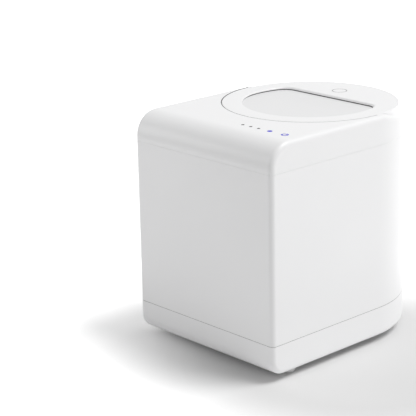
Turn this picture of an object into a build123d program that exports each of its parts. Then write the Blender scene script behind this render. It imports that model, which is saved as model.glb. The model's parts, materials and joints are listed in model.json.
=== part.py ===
"""Countertop electric food waste composter.

A rounded housing holds a heated well with a lift-out bucket, a grinder drive below it
and a carbon filter with its blower behind it.  A twist-lock lid covers bucket and filter.
Frame: +X right, front faces -Y, +Z up, origin on the ground under the middle of the body.
Millimetres throughout.
"""
import os
from math import acos, atan2, cos, degrees, hypot, radians, sin, tan

from build123d import *

os.makedirs("parts", exist_ok=True)

# ---------------------------------------------------------------- driving dimensions
# Housing
body_width = 270.0            # also the diameter of the half-round back
nose_length = 79.0            # body ahead of the square that holds the lid
foot_height = 10.0
tray_height = 44.0            # moulded bottom tray
wrap_height = 238.0           # wall between the two seams
cap_height = 40.5             # top cap
wall = 2.5                    # moulded housing wall
front_top_radius = 35.5       # the front rolls over into the top
front_bottom_radius = 22.0
edge_radius = 7.0             # round edge along the sides
seam_height = 0.6             # shadow line between the shells
seam_depth = 1.0
deck_slope = 14.6             # fall of the top behind the lid's middle, degrees
deck_start = 8.0              # where the fall starts, behind the lid's middle
deck_blend = 10.0             # radius at the start of the fall
clearance = 0.3               # gap round what is lifted, turned or slid
fit = 0.05                    # gap round a shaft or a seated plug

# Feet
foot_radius = 12.0
foot_tip_radius = 9.0
foot_stem_radius = 4.0
front_foot_inset = 21.0       # from the side
front_foot_y = 50.0           # from the front face
rear_foot_inset = 25.0        # from the round back
rear_foot_angle = 54.0

# Lid
lid_margin = 9.0              # land between the lid and the side
lid_height = 14.7
lid_wall = 2.5
lid_gap = 0.8
lid_edge = 1.2
recess_margin = 28.0          # from the lid's edge to the D-shaped finger recess
recess_share = 0.454          # place of its straight side, as a share of its radius
recess_corner = 8.0            # rounding of its two corners
recess_depth = 6.0
recess_lip = 0.6              # step where the scooped floor starts in front
grip_height = 1.7             # undercut for the fingertips at the foot of the recess wall
grip_depth = 2.5
grip_start = 0.18             # where it starts, as a share of the recess's run
pocket_wall = 2.5
collar_inset = 6.0            # fixed collar under the lid's rim
collar_wall = 2.5
chamber_inset = 14.0          # round chamber under the lid
chamber_wall = 2.5
rim_rise = 6.5                # chamber wall above the lid's seat
lug_count = 4
lug_reach = 3.5
lug_thickness = 2.5
lug_arc = 19.0                # degrees
lug_offset = 27.0             # lid lugs past the chamber lugs when unlocked, degrees
latch_wall = 2.0
plate_thickness = 3.0
plate_rim = 2.5
plate_drop = 4.0              # plate's underside below the lid's seat
magnet_width = 8.0
magnet_thickness = 2.2
gasket_width = 3.5
pivot_radius = 8.0
pivot_screw_radius = 3.0

# Bucket and well
bucket_room = 3.5             # between the bucket's flange and the chamber wall
bucket_draft = 6.0            # base smaller than the rim, on the radius
bucket_wall = 2.0
bucket_floor = 2.5
bucket_flange = 6.0
bucket_corner = 8.0
dome_radius = 26.0            # hollow under the bucket that hides the coupling
dome_height = 14.0
well_gap = 4.0
well_wall = 1.5
well_flange = 7.5
well_floor_z = 72.0
heater_thickness = 6.0
heater_inset = 3.0            # inside the bucket's base
heater_hole = 30.0
insulation = 6.0
insulation_drop = 18.0        # bare top of the well
element_inset = 11.0          # heating tube's ring, inside the plate
element_width = 6.0
element_thickness = 4.0
element_arc = 320.0           # degrees
thermostat_radius = 9.0
thermostat_height = 8.0
thermostat_tab = 3.0
deck_thickness = 2.5
bail_rod = 2.4                # rod radius
bail_rise = 5.8               # pivot height above the bucket's flange
grip_radius = 4.2
grip_angle = 50.0
ear_thickness = 3.5
ear_width = 9.0

# Grinder
rotor_shaft_radius = 5.0
rotor_hub_radius = 11.0
rotor_hub_height = 34.0
rotor_room = 7.0              # between the arms and the bucket's base corner
arm_width = 9.0
arm_thickness = 7.0
paddle_inner = 34.0
paddle_clearance = 2.5        # over the bucket's floor
upper_arm_rise = 25.0         # upper arms above the lower arms
blade_count = 3
blade_reach = 22.0
blade_thickness = 4.0
blade_width = 14.0
coupling_radius = 20.0
coupling_plate = 3.5
coupling_hub_radius = 10.0
dog_inner = 11.0
dog_height = 8.0
dog_count = 3
dog_arc = 50.0                # degrees

# Drive train
gear_teeth = 48
pinion_teeth = 12
slow_share = 0.625            # slow pair's share of the way from the motor to the output
motor_room = 5.5              # between the motor and the well's insulation
fast_face = 8.0
slow_face = 12.0
pressure_angle = 20.0
backlash = 0.15               # share of the module
gearbox_z = 24.0
gearbox_wall = 3.0
gearbox_height = 33.0
gear_room = 3.0               # between the tooth tips and the case wall
ear_radius = 6.0
output_shaft_radius = 6.0
bush_wall = 3.0
bush_height = 9.0
idler_pin_radius = 4.0
motor_radius = 28.0
motor_height = 60.0
motor_shaft_radius = 3.0
motor_bell_height = 6.0
motor_tab_width = 5.0
motor_tab_thickness = 0.8
motor_tab_gap = 18.0          # between the middles of the two tabs
motor_tab_height = 8.0

# Filter and blower
filter_room = 2.5             # between the filter's flange and the chamber wall
filter_bucket_gap = 2.0       # between the two flanges
filter_radius = 24.6
filter_length = 92.0
filter_wall = 1.5
filter_flange = 2.4
filter_grip = 8.0
sleeve_wall = 2.0
sleeve_room = 5.0             # under the canister
blower_radius = 27.5
blower_height = 36.0
blower_wall = 2.0
blower_inlet = 13.0
wheel_radius = 22.0
wheel_blades = 16
blade_sheet = 1.2
blade_chord = 7.0
blower_hub = 5.0
blower_shaft = 1.5
vent_count = 4
blower_motor_radius = 13.0
blower_motor_height = 16.0
outlet_width = 24.0
slot_count = 5
slot_width = 3.0
slot_pitch = 4.5
slot_height = 26.0

# Controls
control_y = 51.5              # row of lights, from the front face
dot_radius = 1.4
touch_inset = 26.0            # touch key, from the side
touch_radius = 7.0
status_light_gap = 28.0       # from the touch key
status_light_radius = 2.8
dot_gap = 21.0                # last dot from the status light
dot_pitch = 15.0
dot_count = 3
board_thickness = 1.6
board_drop = 10.0             # control board under the top skin
board_post_radius = 3.5
board_post_inset = 4.5        # from the board's edges
control_board_width = 104.0
control_board_depth = 26.0
control_board_inset = 13.0    # from the side
chip_width = 10.0
chip_height = 3.0
main_board_width = 160.0
main_board_height = 80.0
main_board_y = 18.5           # from the front face
main_board_floor = 2.5        # under the board's lower edge
board_rib_width = 12.0        # slotted rib that holds each lower corner
board_rib_depth = 6.0
board_rib_height = 14.0
board_part_depth = 12.0
transformer_width = 24.0
relay_width = 13.0
relay_height = 26.0
capacitor_radius = 6.0

# Mains inlet
inlet_z = 80.0
cup_width = 57.0
cup_height = 37.0
cup_wall = 2.0
cup_depth = 16.5              # from the back of the body
cup_corner = 5.0
cup_flange = 5.0
socket_width = 27.0
socket_height = 20.0
socket_depth = 18.0
socket_flange_width = 48.0
socket_flange_height = 24.0
socket_flange = 2.0
socket_wall = 1.5
pin_width = 2.0
pin_height = 4.0
pin_length = 11.0
pin_pitch = 7.0
pin_rise = 2.0                # middle pin above the inlet's middle, outer pins below it

# Screws
screw_radius = 2.0
screw_head_radius = 4.0
screw_head = 3.0
post_radius = 5.0
post_inset = 17.0             # front posts, from the side
post_y = 26.5                 # front posts, from the front face
tray_post_inset = 21.0        # rear posts, from the round back
post_angle = 38.0
boss_height = 20.0            # screw boss in the wall beyond each seam
cap_post_height = 14.0
web_thickness = 2.4           # rib that ties a boss to the wall
deck_ear_angles = (10.0, 170.0, 235.0, 305.0)

# ---------------------------------------------------------------- derived places
body_depth = body_width + nose_length
half_width = body_width / 2
front = -body_depth / 2
back = body_depth / 2
lid_y = back - half_width
lid_radius = half_width - lid_margin
collar_radius = lid_radius - collar_inset
chamber_radius = lid_radius - chamber_inset
recess_radius = lid_radius - recess_margin
recess_chord = recess_radius * recess_share
filter_outer = filter_radius + filter_flange
bucket_radius = (chamber_radius - filter_outer - bucket_flange
                 - (bucket_room + filter_bucket_gap + filter_room) / 2)
bucket_base_radius = bucket_radius - bucket_draft
heater_radius = bucket_base_radius - heater_inset
element_radius = heater_radius - element_inset
rotor_reach = bucket_base_radius - rotor_room
motor_reach = bucket_radius + well_gap + well_wall + insulation + motor_room + motor_radius
slow_module = 2 * motor_reach * slow_share / (gear_teeth + pinion_teeth)
fast_module = 2 * motor_reach * (1 - slow_share) / (gear_teeth + pinion_teeth)
z_tray = foot_height
z_wrap = z_tray + tray_height
z_cap = z_wrap + wrap_height
z_top = z_cap + cap_height
floor_top = z_tray + wall
lid_seat = z_top - lid_height - clearance
pocket_radius = lid_radius + lid_gap
rim_top = lid_seat + rim_rise
plate_low = lid_seat - plate_drop
plate_top = plate_low + plate_thickness
collar_inner = collar_radius - collar_wall
deck_under = z_cap - deck_thickness
bucket_centre = lid_y - (chamber_radius - bucket_room - bucket_flange - bucket_radius)
filter_centre = lid_y + chamber_radius - filter_room - filter_outer
well_floor_top = well_floor_z + well_wall
heater_top = well_floor_top + heater_thickness
insulation_top = deck_under - insulation_drop
bucket_hole = bucket_radius + clearance * 8
bucket_base = heater_top + clearance
flange_under = z_cap + clearance
flange_top = flange_under + bucket_floor
bail_z = flange_top + bail_rise
dome_under = bucket_base + dome_height
dome_top = dome_under + bucket_wall
shaft_bush_outer = rotor_shaft_radius + bush_wall
bush_outer = output_shaft_radius + bush_wall
driven_under = dome_under - clearance - coupling_plate
drive_plate_top = bucket_base - clearance * 4
drive_dog_top = driven_under - clearance * 4
board_z = z_top - wall - board_drop
board_front = front + control_y - control_board_depth / 2
control_board_x = half_width - control_board_inset - control_board_width / 2
board_posts = [
    (control_board_x + side * (control_board_width / 2 - board_post_inset),
     front + control_y + rear * (control_board_depth / 2 - board_post_inset))
    for side in (-1, 1) for rear in (-1, 1)
]
touch_x = half_width - touch_inset
status_light_x = touch_x - status_light_gap
light_holes = [
    (status_light_x - dot_gap - dot * dot_pitch, dot_radius) for dot in reversed(range(dot_count))
] + [(status_light_x, status_light_radius)]
screw_places = [
    (side * (socket_flange_width / 2 - screw_head_radius), inlet_z) for side in (-1, 1)
]
lid_place = (0, lid_y)
bucket_place = (0, bucket_centre)
filter_place = (0, filter_centre)
cap_post_circle = collar_radius + post_radius - 1
deck_radius = cap_post_circle - post_radius - clearance
UP = (Align.CENTER, Align.CENTER, Align.MIN)


# ---------------------------------------------------------------- shared shapes
def plan_outline(inset, corner):
    """U-shaped plan, moved in by inset, with two rounded front corners."""
    with BuildSketch() as outline:
        with Locations((0, (front + inset + lid_y) / 2)):
            Rectangle(body_width - 2 * inset, lid_y - front - inset)
        with Locations((0, lid_y)):
            Circle(half_width - inset)
        if corner > 0:
            fillet(outline.vertices().group_by(Axis.Y)[0], corner)
    return outline.sketch


def side_outline(inset):
    """Side view, drawn with Y across and Z up: rounded front, flat top, deck that falls to the back."""
    fall = (half_width - deck_start) * tan(radians(deck_slope))
    with BuildSketch() as outline:
        with BuildLine():
            Polyline(
                (front, z_tray),
                (front, z_top),
                (lid_y + deck_start, z_top),
                (back, z_top - fall),
                (back, z_tray),
                close=True,
            )
        make_face()
        fillet(outline.vertices().group_by(Axis.X)[0].sort_by(Axis.Y)[0], front_bottom_radius)
        fillet(outline.vertices().group_by(Axis.Y)[-1].sort_by(Axis.X)[0], front_top_radius)
        fillet(outline.vertices().group_by(Axis.Y)[-1].sort_by(Axis.X)[-1], deck_blend)
        if inset > 0:
            offset(amount=-inset, kind=Kind.INTERSECTION)
    return outline.sketch


def rim_edges(form):
    """Edges that run along the sides and round the back, without the seams of tangent faces."""
    across = form.edges().filter_by(Axis.X)
    upright = form.edges().filter_by(Axis.Z).filter_by(lambda edge: edge.center().Y > front + wall * 2)
    return form.edges() - across - upright


def ring(outer, inner, z_low, z_high, at=(0, 0), mode=Mode.ADD):
    """Upright ring or, with no inner radius, a cylinder in the part that is open."""
    with BuildSketch(Plane.XY.offset(z_low)) as section:
        with Locations(at):
            Circle(outer)
            if inner > 0:
                Circle(inner, mode=Mode.SUBTRACT)
    extrude(section.sketch, amount=z_high - z_low, mode=mode)


def sectors(outer, inner, z_low, z_high, at, count, arc, start, mode=Mode.ADD):
    """Equal arc-shaped lugs spread round a circle, the first one centred on start."""
    with BuildSketch() as lug:
        with BuildLine():
            inner_arc = CenterArc((0, 0), inner, -arc / 2, arc)
            outer_arc = CenterArc((0, 0), outer, -arc / 2, arc)
            Line(inner_arc @ 0, outer_arc @ 0)
            Line(inner_arc @ 1, outer_arc @ 1)
        make_face()
    with BuildSketch(Plane.XY.offset(z_low)) as section:
        with Locations(at):
            with PolarLocations(0, count, start_angle=start):
                add(lug.sketch)
    extrude(section.sketch, amount=z_high - z_low, mode=mode)


def block(x_range, y_range, z_range, mode=Mode.ADD):
    """Upright box between three pairs of limits."""
    with Locations((sum(x_range) / 2, sum(y_range) / 2, z_range[0])):
        Box(x_range[1] - x_range[0], y_range[1] - y_range[0], z_range[1] - z_range[0],
            align=UP, mode=mode)


def web(place, z_low, z_high):
    """Rib from a boss to the nearest wall: sideways at the front, outwards at the round back."""
    if place[1] < lid_y:
        angle = 0 if place[0] > 0 else 180
        reach = half_width - wall / 2 - abs(place[0])
    else:
        angle = degrees(atan2(place[1] - lid_y, place[0]))
        reach = half_width - wall / 2 - hypot(place[0], place[1] - lid_y)
    with BuildSketch(Plane.XY.offset(z_low)) as section:
        with Locations(Location((place[0], place[1], 0), (0, 0, angle))):
            Rectangle(reach, web_thickness, align=(Align.MIN, Align.CENTER))
    extrude(section.sketch, amount=z_high - z_low)


def case_outline(extra):
    """Gearbox plan: one loop drawn tight round the circles of the three gear places."""
    with BuildSketch() as outline:
        for place, radius in case_radii.items():
            with Locations(place):
                Circle(radius + extra)
        make_hull()
    return outline.sketch


def gear_outline(teeth, module, at, first_tooth):
    """Involute spur gear, with each flank drawn through root, pitch and tip."""
    pitch = teeth * module / 2
    base = pitch * cos(radians(pressure_angle))
    root = pitch - 1.25 * module
    tip = pitch + 0.9 * module
    half_tooth = 90 / teeth - degrees(backlash / (teeth))

    def involute(radius):
        angle = acos(min(base / radius, 1))
        return degrees(tan(angle) - angle)

    flank = [
        (radius, half_tooth + involute(pitch) - involute(radius)) for radius in (root, pitch, tip)
    ]
    points = []
    for tooth in range(teeth):
        middle = first_tooth + tooth * 360 / teeth
        for radius, half in flank:
            points.append((radius, middle - half))
        for radius, half in reversed(flank):
            points.append((radius, middle + half))
    corners = [
        (at[0] + radius * cos(radians(angle)), at[1] + radius * sin(radians(angle)))
        for radius, angle in points
    ]
    with BuildSketch() as outline:
        with BuildLine():
            Polyline(*corners, close=True)
        make_face()
    return outline.sketch


def finish(piece, name):
    """Label a finished piece and write it as its own STEP file."""
    piece.part.label = name
    export_step(piece.part, "parts/" + name + ".step")


# Solid forms of the closed housing, outside and inside its wall
with BuildPart() as outer_form:
    with BuildSketch(Plane.XY.offset(z_tray)):
        add(plan_outline(0, 0))
    extrude(amount=z_top - z_tray)
    with BuildSketch(Plane.YZ):
        add(side_outline(0))
    extrude(amount=half_width, both=True, mode=Mode.INTERSECT)
    fillet(rim_edges(outer_form), edge_radius)

with BuildPart() as inner_form:
    with BuildSketch(Plane.XY.offset(z_tray)):
        add(plan_outline(wall, 0))
    extrude(amount=z_top - z_tray)
    with BuildSketch(Plane.YZ):
        add(side_outline(wall))
    extrude(amount=half_width, both=True, mode=Mode.INTERSECT)
    fillet(rim_edges(inner_form), edge_radius - wall)


# Places of the screw posts and feet, about the lid's middle at the back
front_posts = [(side * (half_width - post_inset), front + post_y) for side in (-1, 1)]


def rear_places(circle, angle):
    """A left and a right place on a circle about the lid's middle, behind it."""
    across = circle * cos(radians(angle))
    return [(-across, lid_y + circle * sin(radians(angle))), (across, lid_y + circle * sin(radians(angle)))]


tray_posts = front_posts + rear_places(half_width - tray_post_inset, post_angle)
cap_posts = front_posts + rear_places(cap_post_circle, post_angle)
foot_places = [
    (side * (half_width - front_foot_inset), front + front_foot_y) for side in (-1, 1)
] + rear_places(half_width - rear_foot_inset, rear_foot_angle)

deck_posts = [
    (cap_post_circle * cos(radians(angle)), lid_y + cap_post_circle * sin(radians(angle)))
    for angle in deck_ear_angles
]

# Gear train places: motor, idler and output in line from front to back
output_place = bucket_place
idler_place = (0, bucket_centre - (gear_teeth + pinion_teeth) * slow_module / 2)
motor_place = (0, idler_place[1] - (gear_teeth + pinion_teeth) * fast_module / 2)
case_floor = gearbox_z + gearbox_wall
cover_z = gearbox_z + gearbox_height - gearbox_wall
cover_top = gearbox_z + gearbox_height
fast_z = case_floor + 2
slow_z = fast_z + fast_face + 1
case_radii = {
    output_place: gear_teeth * slow_module / 2 + slow_module + gear_room,
    idler_place: gear_teeth * fast_module / 2 + fast_module + gear_room,
    motor_place: pinion_teeth * fast_module / 2 + fast_module + gear_room + gearbox_wall,
}
gearbox_ears = [
    (place[0] + (case_radii[place] + gearbox_wall) * cos(radians(angle)),
     place[1] + (case_radii[place] + gearbox_wall) * sin(radians(angle)))
    for place, angle in (
        (output_place, 40), (output_place, 140), (idler_place, 180), (idler_place, 0)
    )
]

# ---------------------------------------------------------------- housing
# Bottom tray with gearbox and screw posts, foot holes and a slot for the main board
board_y = front + main_board_y
with BuildPart() as base_tray:
    add(outer_form.part)
    split(bisect_by=Plane.XY.offset(z_wrap), keep=Keep.BOTTOM)
    add(inner_form.part, mode=Mode.SUBTRACT)
    with BuildSketch(Plane.XY.offset(z_wrap - seam_height)):
        add(plan_outline(-1, 0))
        add(plan_outline(seam_depth, edge_radius - seam_depth), mode=Mode.SUBTRACT)
    extrude(amount=seam_height, mode=Mode.SUBTRACT)
    for place in tray_posts:
        ring(post_radius, 0, floor_top - wall / 2, z_wrap, place)
    for place in gearbox_ears:
        ring(ear_radius, 0, floor_top - wall / 2, gearbox_z, place)
    for side in (-1, 1):
        rib_x = side * (main_board_width - board_rib_width) / 2
        block((rib_x - board_rib_width / 2, rib_x + board_rib_width / 2),
              (board_y - board_rib_depth / 2, board_y + board_rib_depth / 2),
              (floor_top, floor_top + board_rib_height))
    block((-main_board_width / 2 - fit, main_board_width / 2 + fit),
          (board_y - board_thickness / 2 - fit, board_y + board_thickness / 2 + fit),
          (floor_top + main_board_floor, floor_top + board_rib_height), mode=Mode.SUBTRACT)
    for place in tray_posts:
        ring(screw_radius + fit, 0, z_tray, z_wrap, place, mode=Mode.SUBTRACT)
        ring(screw_head_radius + clearance, 0, z_tray, z_tray + screw_head, place, mode=Mode.SUBTRACT)
    for place in gearbox_ears:
        ring(screw_radius + fit, 0, floor_top + 1, gearbox_z, place, mode=Mode.SUBTRACT)
    for place in foot_places:
        ring(foot_stem_radius + fit, 0, z_tray, floor_top, place, mode=Mode.SUBTRACT)
finish(base_tray, "base_tray")

# Four tapered rubber feet, each with a stem plugged into the tray
with BuildPart() as feet:
    with Locations(*[(x, y, 0) for x, y in foot_places]):
        Cone(foot_tip_radius, foot_radius, foot_height, align=UP)
    for place in foot_places:
        ring(foot_stem_radius, 0, foot_height, floor_top + 1, place)
finish(feet, "feet")

# Heights of the filter and blower, hung from the deck
filter_top = z_cap + clearance + filter_flange
filter_base = filter_top - filter_length
sleeve_base = filter_base - sleeve_room
sleeve_inner = filter_radius + clearance * 2
sleeve_outer = sleeve_inner + sleeve_wall
blower_base = sleeve_base - blower_height
outlet_x = blower_radius - outlet_width / 2
flange_split = (bucket_centre + bucket_radius + well_gap + well_wall
                + filter_centre - sleeve_outer) / 2

# Wall between the seams, open at both ends, with the outlet slots and the inlet opening behind
with BuildPart() as body_wrap:
    add(outer_form.part)
    split(bisect_by=Plane.XY.offset(z_cap), keep=Keep.BOTTOM)
    split(bisect_by=Plane.XY.offset(z_wrap), keep=Keep.TOP)
    add(inner_form.part, mode=Mode.SUBTRACT)
    with BuildSketch(Plane.XY.offset(z_cap - seam_height)):
        add(plan_outline(-1, 0))
        add(plan_outline(seam_depth, edge_radius - seam_depth), mode=Mode.SUBTRACT)
    extrude(amount=seam_height, mode=Mode.SUBTRACT)
    for posts, z_low in ((tray_posts, z_wrap), (cap_posts, z_cap - boss_height)):
        for place in posts:
            ring(post_radius, 0, z_low, z_low + boss_height, place)
            web(place, z_low, z_low + boss_height)
            ring(screw_radius + fit, 0, z_low, z_low + boss_height, place, mode=Mode.SUBTRACT)
    with BuildSketch(Plane.XZ.offset(-filter_centre)):
        with Locations((outlet_x, blower_base + blower_height / 2)):
            with GridLocations(slot_pitch, slot_pitch, slot_count, 1):
                Rectangle(slot_width, slot_height)
        with Locations((0, inlet_z)):
            RectangleRounded(cup_width + 2 * clearance, cup_height + 2 * clearance, cup_corner)
    extrude(amount=-half_width, mode=Mode.SUBTRACT)
finish(body_wrap, "body_wrap")

# Top cap: rolled front, sunk pocket for the lid and the collar that stands out of the deck behind
with BuildPart() as pocket_form:
    ring(pocket_radius + pocket_wall, chamber_radius + chamber_wall + clearance,
         lid_seat - wall, z_top, lid_place)
    ring(pocket_radius, 0, lid_seat, z_top, lid_place, mode=Mode.SUBTRACT)
    for place in cap_posts[:2]:
        ring(post_radius, 0, z_cap, z_top, place)
    add(outer_form.part, mode=Mode.INTERSECT)
with BuildPart() as top_cap:
    add(outer_form.part)
    split(bisect_by=Plane.XY.offset(z_cap), keep=Keep.TOP)
    add(inner_form.part, mode=Mode.SUBTRACT)
    ring(collar_radius, 0, z_cap, z_top, lid_place, mode=Mode.SUBTRACT)
    ring(pocket_radius, 0, lid_seat, z_top, lid_place, mode=Mode.SUBTRACT)
    add(pocket_form.part)
    ring(collar_radius, collar_inner, z_cap, lid_seat, lid_place)
    for place in cap_posts[2:] + deck_posts:
        ring(post_radius, 0, z_cap, z_cap + cap_post_height, place)
    ring(collar_inner, 0, z_cap, lid_seat - wall, lid_place, mode=Mode.SUBTRACT)
    for place in cap_posts + deck_posts:
        ring(screw_radius + fit, 0, z_cap, z_cap + cap_post_height - wall, place, mode=Mode.SUBTRACT)
    for place in board_posts:
        ring(board_post_radius, 0, board_z, z_top - wall / 2, place)
    for x, radius in light_holes:
        ring(radius + fit, 0, z_top - wall, z_top, (x, front + control_y), mode=Mode.SUBTRACT)
finish(top_cap, "top_cap")

# Deck under the lid: floor with the bucket and filter holes, chamber wall and bayonet lugs
with BuildPart() as inner_deck:
    ring(deck_radius, 0, deck_under, z_cap, lid_place)
    for place in deck_posts:
        ring(ear_radius, 0, deck_under, z_cap, place)
    ring(chamber_radius + chamber_wall, chamber_radius, z_cap, rim_top, lid_place)
    sectors(chamber_radius + chamber_wall + lug_reach, chamber_radius + chamber_wall / 2,
            rim_top - lug_thickness, rim_top, lid_place, lug_count, lug_arc, 0)
    ring(bucket_hole, 0, deck_under, z_cap, bucket_place, mode=Mode.SUBTRACT)
    ring(sleeve_inner, 0, deck_under, z_cap, filter_place, mode=Mode.SUBTRACT)
    for place in deck_posts:
        ring(screw_radius + fit, 0, deck_under, z_cap, place, mode=Mode.SUBTRACT)
finish(inner_deck, "inner_deck")

# ---------------------------------------------------------------- well and heater
well_inner = bucket_radius + well_gap
well_outer = well_inner + well_wall
with BuildPart() as well_can:
    ring(well_outer, well_inner, well_floor_z, deck_under, bucket_place)
    ring(well_outer, coupling_hub_radius + well_gap, well_floor_z, well_floor_top, bucket_place)
    ring(well_outer + well_flange, well_inner, deck_under - well_wall, deck_under, bucket_place)
    block((-half_width, half_width), (flange_split - clearance, back),
          (deck_under - well_wall, deck_under), mode=Mode.SUBTRACT)
finish(well_can, "well_can")

with BuildPart() as well_insulation:
    ring(well_outer + fit + insulation, well_outer + fit, well_floor_z, insulation_top, bucket_place)
    ring(sleeve_outer + insulation, 0, well_floor_z, insulation_top, filter_place, mode=Mode.SUBTRACT)
finish(well_insulation, "well_insulation")

with BuildPart() as heater_plate:
    ring(heater_radius, heater_hole, well_floor_top, heater_top, bucket_place)
    chamfer(heater_plate.edges().group_by(Axis.Z)[-1], 1)
finish(heater_plate, "heater_plate")

# Flattened heating tube under the well, with its two terminals
with BuildPart() as heating_element:
    sectors(element_radius + element_width / 2, element_radius - element_width / 2,
            well_floor_z - element_thickness, well_floor_z, bucket_place, 1, element_arc, 90)
    for side in (-1, 1):
        angle = radians(90 + side * (element_arc / 2 - 3))
        ring(screw_radius, 0, well_floor_z - 3 * element_thickness, well_floor_z - element_thickness / 2,
             (element_radius * cos(angle), bucket_centre + element_radius * sin(angle)))
finish(heating_element, "heating_element")

with BuildPart() as thermostat:
    ring(thermostat_radius, 0, well_floor_z - thermostat_height, well_floor_z,
         (0, bucket_centre - element_radius / 2))
    with Locations((0, bucket_centre - element_radius / 2,
                    well_floor_z - thermostat_height - thermostat_tab)):
        Box(thermostat_radius, 1, thermostat_tab + 1, align=UP)
finish(thermostat, "thermostat")

# ---------------------------------------------------------------- drive train
with BuildPart() as gearbox_case:
    with BuildSketch(Plane.XY.offset(gearbox_z)):
        add(case_outline(gearbox_wall))
    extrude(amount=cover_z - gearbox_z)
    for place in gearbox_ears:
        ring(ear_radius, 0, gearbox_z, cover_z, place)
    with BuildSketch(Plane.XY.offset(case_floor)):
        add(case_outline(0))
    extrude(amount=cover_z - case_floor, mode=Mode.SUBTRACT)
    ring(bush_outer + gearbox_wall, 0, case_floor - 1, case_floor + bush_height - 2, output_place)
    ring(bush_outer + fit, 0, case_floor, cover_z, output_place, mode=Mode.SUBTRACT)
    ring(idler_pin_radius + fit, 0, case_floor - gearbox_wall / 2, case_floor, idler_place,
         mode=Mode.SUBTRACT)
    for place in gearbox_ears:
        ring(screw_radius + fit, 0, gearbox_z, cover_z, place, mode=Mode.SUBTRACT)
finish(gearbox_case, "gearbox_case")

with BuildPart() as gearbox_cover:
    with BuildSketch(Plane.XY.offset(cover_z)):
        add(case_outline(gearbox_wall))
    extrude(amount=cover_top - cover_z)
    for place in gearbox_ears:
        ring(ear_radius, 0, cover_z, cover_top, place)
    ring(bush_outer + gearbox_wall, 0, cover_z, cover_z + bush_height - 1, output_place)
    ring(bush_outer + fit, 0, cover_z, cover_z + bush_height, output_place, mode=Mode.SUBTRACT)
    ring(motor_shaft_radius + 2, 0, cover_z, cover_top, motor_place, mode=Mode.SUBTRACT)
    ring(idler_pin_radius + fit, 0, cover_z, cover_top, idler_place, mode=Mode.SUBTRACT)
    for place in gearbox_ears:
        ring(screw_radius + fit, 0, cover_z, cover_top, place, mode=Mode.SUBTRACT)
finish(gearbox_cover, "gearbox_cover")

with BuildPart() as output_bushes:
    for z_low in (case_floor, cover_z):
        ring(bush_outer, output_shaft_radius + fit, z_low, z_low + bush_height - 1, output_place)
finish(output_bushes, "output_bushes")

with BuildPart() as idler_pin:
    ring(idler_pin_radius, 0, case_floor - gearbox_wall / 2, cover_top, idler_place)
finish(idler_pin, "idler_pin")

with BuildPart() as output_gear:
    with BuildSketch(Plane.XY.offset(slow_z)):
        add(gear_outline(gear_teeth, slow_module, output_place, 0))
    extrude(amount=slow_face)
    web_low = slow_z + slow_face / 4
    for z_low, z_high in ((slow_z, web_low), (slow_z + slow_face * 3 / 4, slow_z + slow_face)):
        ring(gear_teeth * slow_module / 2 - 3 * slow_module, output_shaft_radius * 2, z_low, z_high,
             output_place, mode=Mode.SUBTRACT)
    ring(output_shaft_radius + fit, 0, slow_z, slow_z + slow_face, output_place, mode=Mode.SUBTRACT)
finish(output_gear, "output_gear")

with BuildPart() as idler_gear:
    with BuildSketch(Plane.XY.offset(fast_z)):
        add(gear_outline(gear_teeth, fast_module, idler_place, 0))
    extrude(amount=fast_face)
    with BuildSketch(Plane.XY.offset(fast_z + fast_face)):
        add(gear_outline(pinion_teeth, slow_module, idler_place, 180 / pinion_teeth))
    extrude(amount=slow_face + 1)
    ring(idler_pin_radius + fit, 0, fast_z, cover_z, idler_place, mode=Mode.SUBTRACT)
finish(idler_gear, "idler_gear")

with BuildPart() as motor_pinion:
    with BuildSketch(Plane.XY.offset(fast_z)):
        add(gear_outline(pinion_teeth, fast_module, motor_place, 180 / pinion_teeth))
    extrude(amount=fast_face)
    ring(motor_shaft_radius + fit, 0, fast_z, fast_z + fast_face, motor_place, mode=Mode.SUBTRACT)
finish(motor_pinion, "motor_pinion")

with BuildPart() as motor_shaft:
    ring(motor_shaft_radius, 0, case_floor + 1, cover_top + motor_height * 2 / 3, motor_place)
finish(motor_shaft, "motor_shaft")

# Motor: drawn can with a narrower end bell and two terminals
with BuildPart() as motor:
    ring(motor_radius, 0, cover_top, cover_top + motor_height, motor_place)
    chamfer(motor.edges().group_by(Axis.Z)[-1], 2)
    bell_top = cover_top + motor_height + motor_bell_height
    ring(motor_radius * 0.6, 0, cover_top + motor_height, bell_top, motor_place)
    for side in (-1, 1):
        tab_x = side * motor_tab_gap / 2
        block((tab_x - motor_tab_width / 2, tab_x + motor_tab_width / 2),
              (motor_place[1] - motor_tab_thickness / 2, motor_place[1] + motor_tab_thickness / 2),
              (cover_top + motor_height, bell_top + motor_tab_height))
    ring(motor_shaft_radius + fit, 0, cover_top, cover_top + motor_height * 2 / 3 + clearance,
         motor_place, mode=Mode.SUBTRACT)
finish(motor, "motor")

with BuildPart() as output_shaft:
    ring(output_shaft_radius, 0, case_floor + clearance, drive_plate_top, output_place)
finish(output_shaft, "output_shaft")

with BuildPart() as drive_coupling:
    ring(coupling_hub_radius, 0, cover_z + bush_height, drive_plate_top, output_place)
    ring(coupling_radius, 0, drive_plate_top - coupling_plate, drive_plate_top, output_place)
    sectors(coupling_radius - 1, dog_inner, drive_plate_top, drive_dog_top, output_place,
            dog_count, dog_arc, 0)
    ring(output_shaft_radius + fit, 0, cover_z, drive_plate_top, output_place, mode=Mode.SUBTRACT)
finish(drive_coupling, "drive_coupling")

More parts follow.
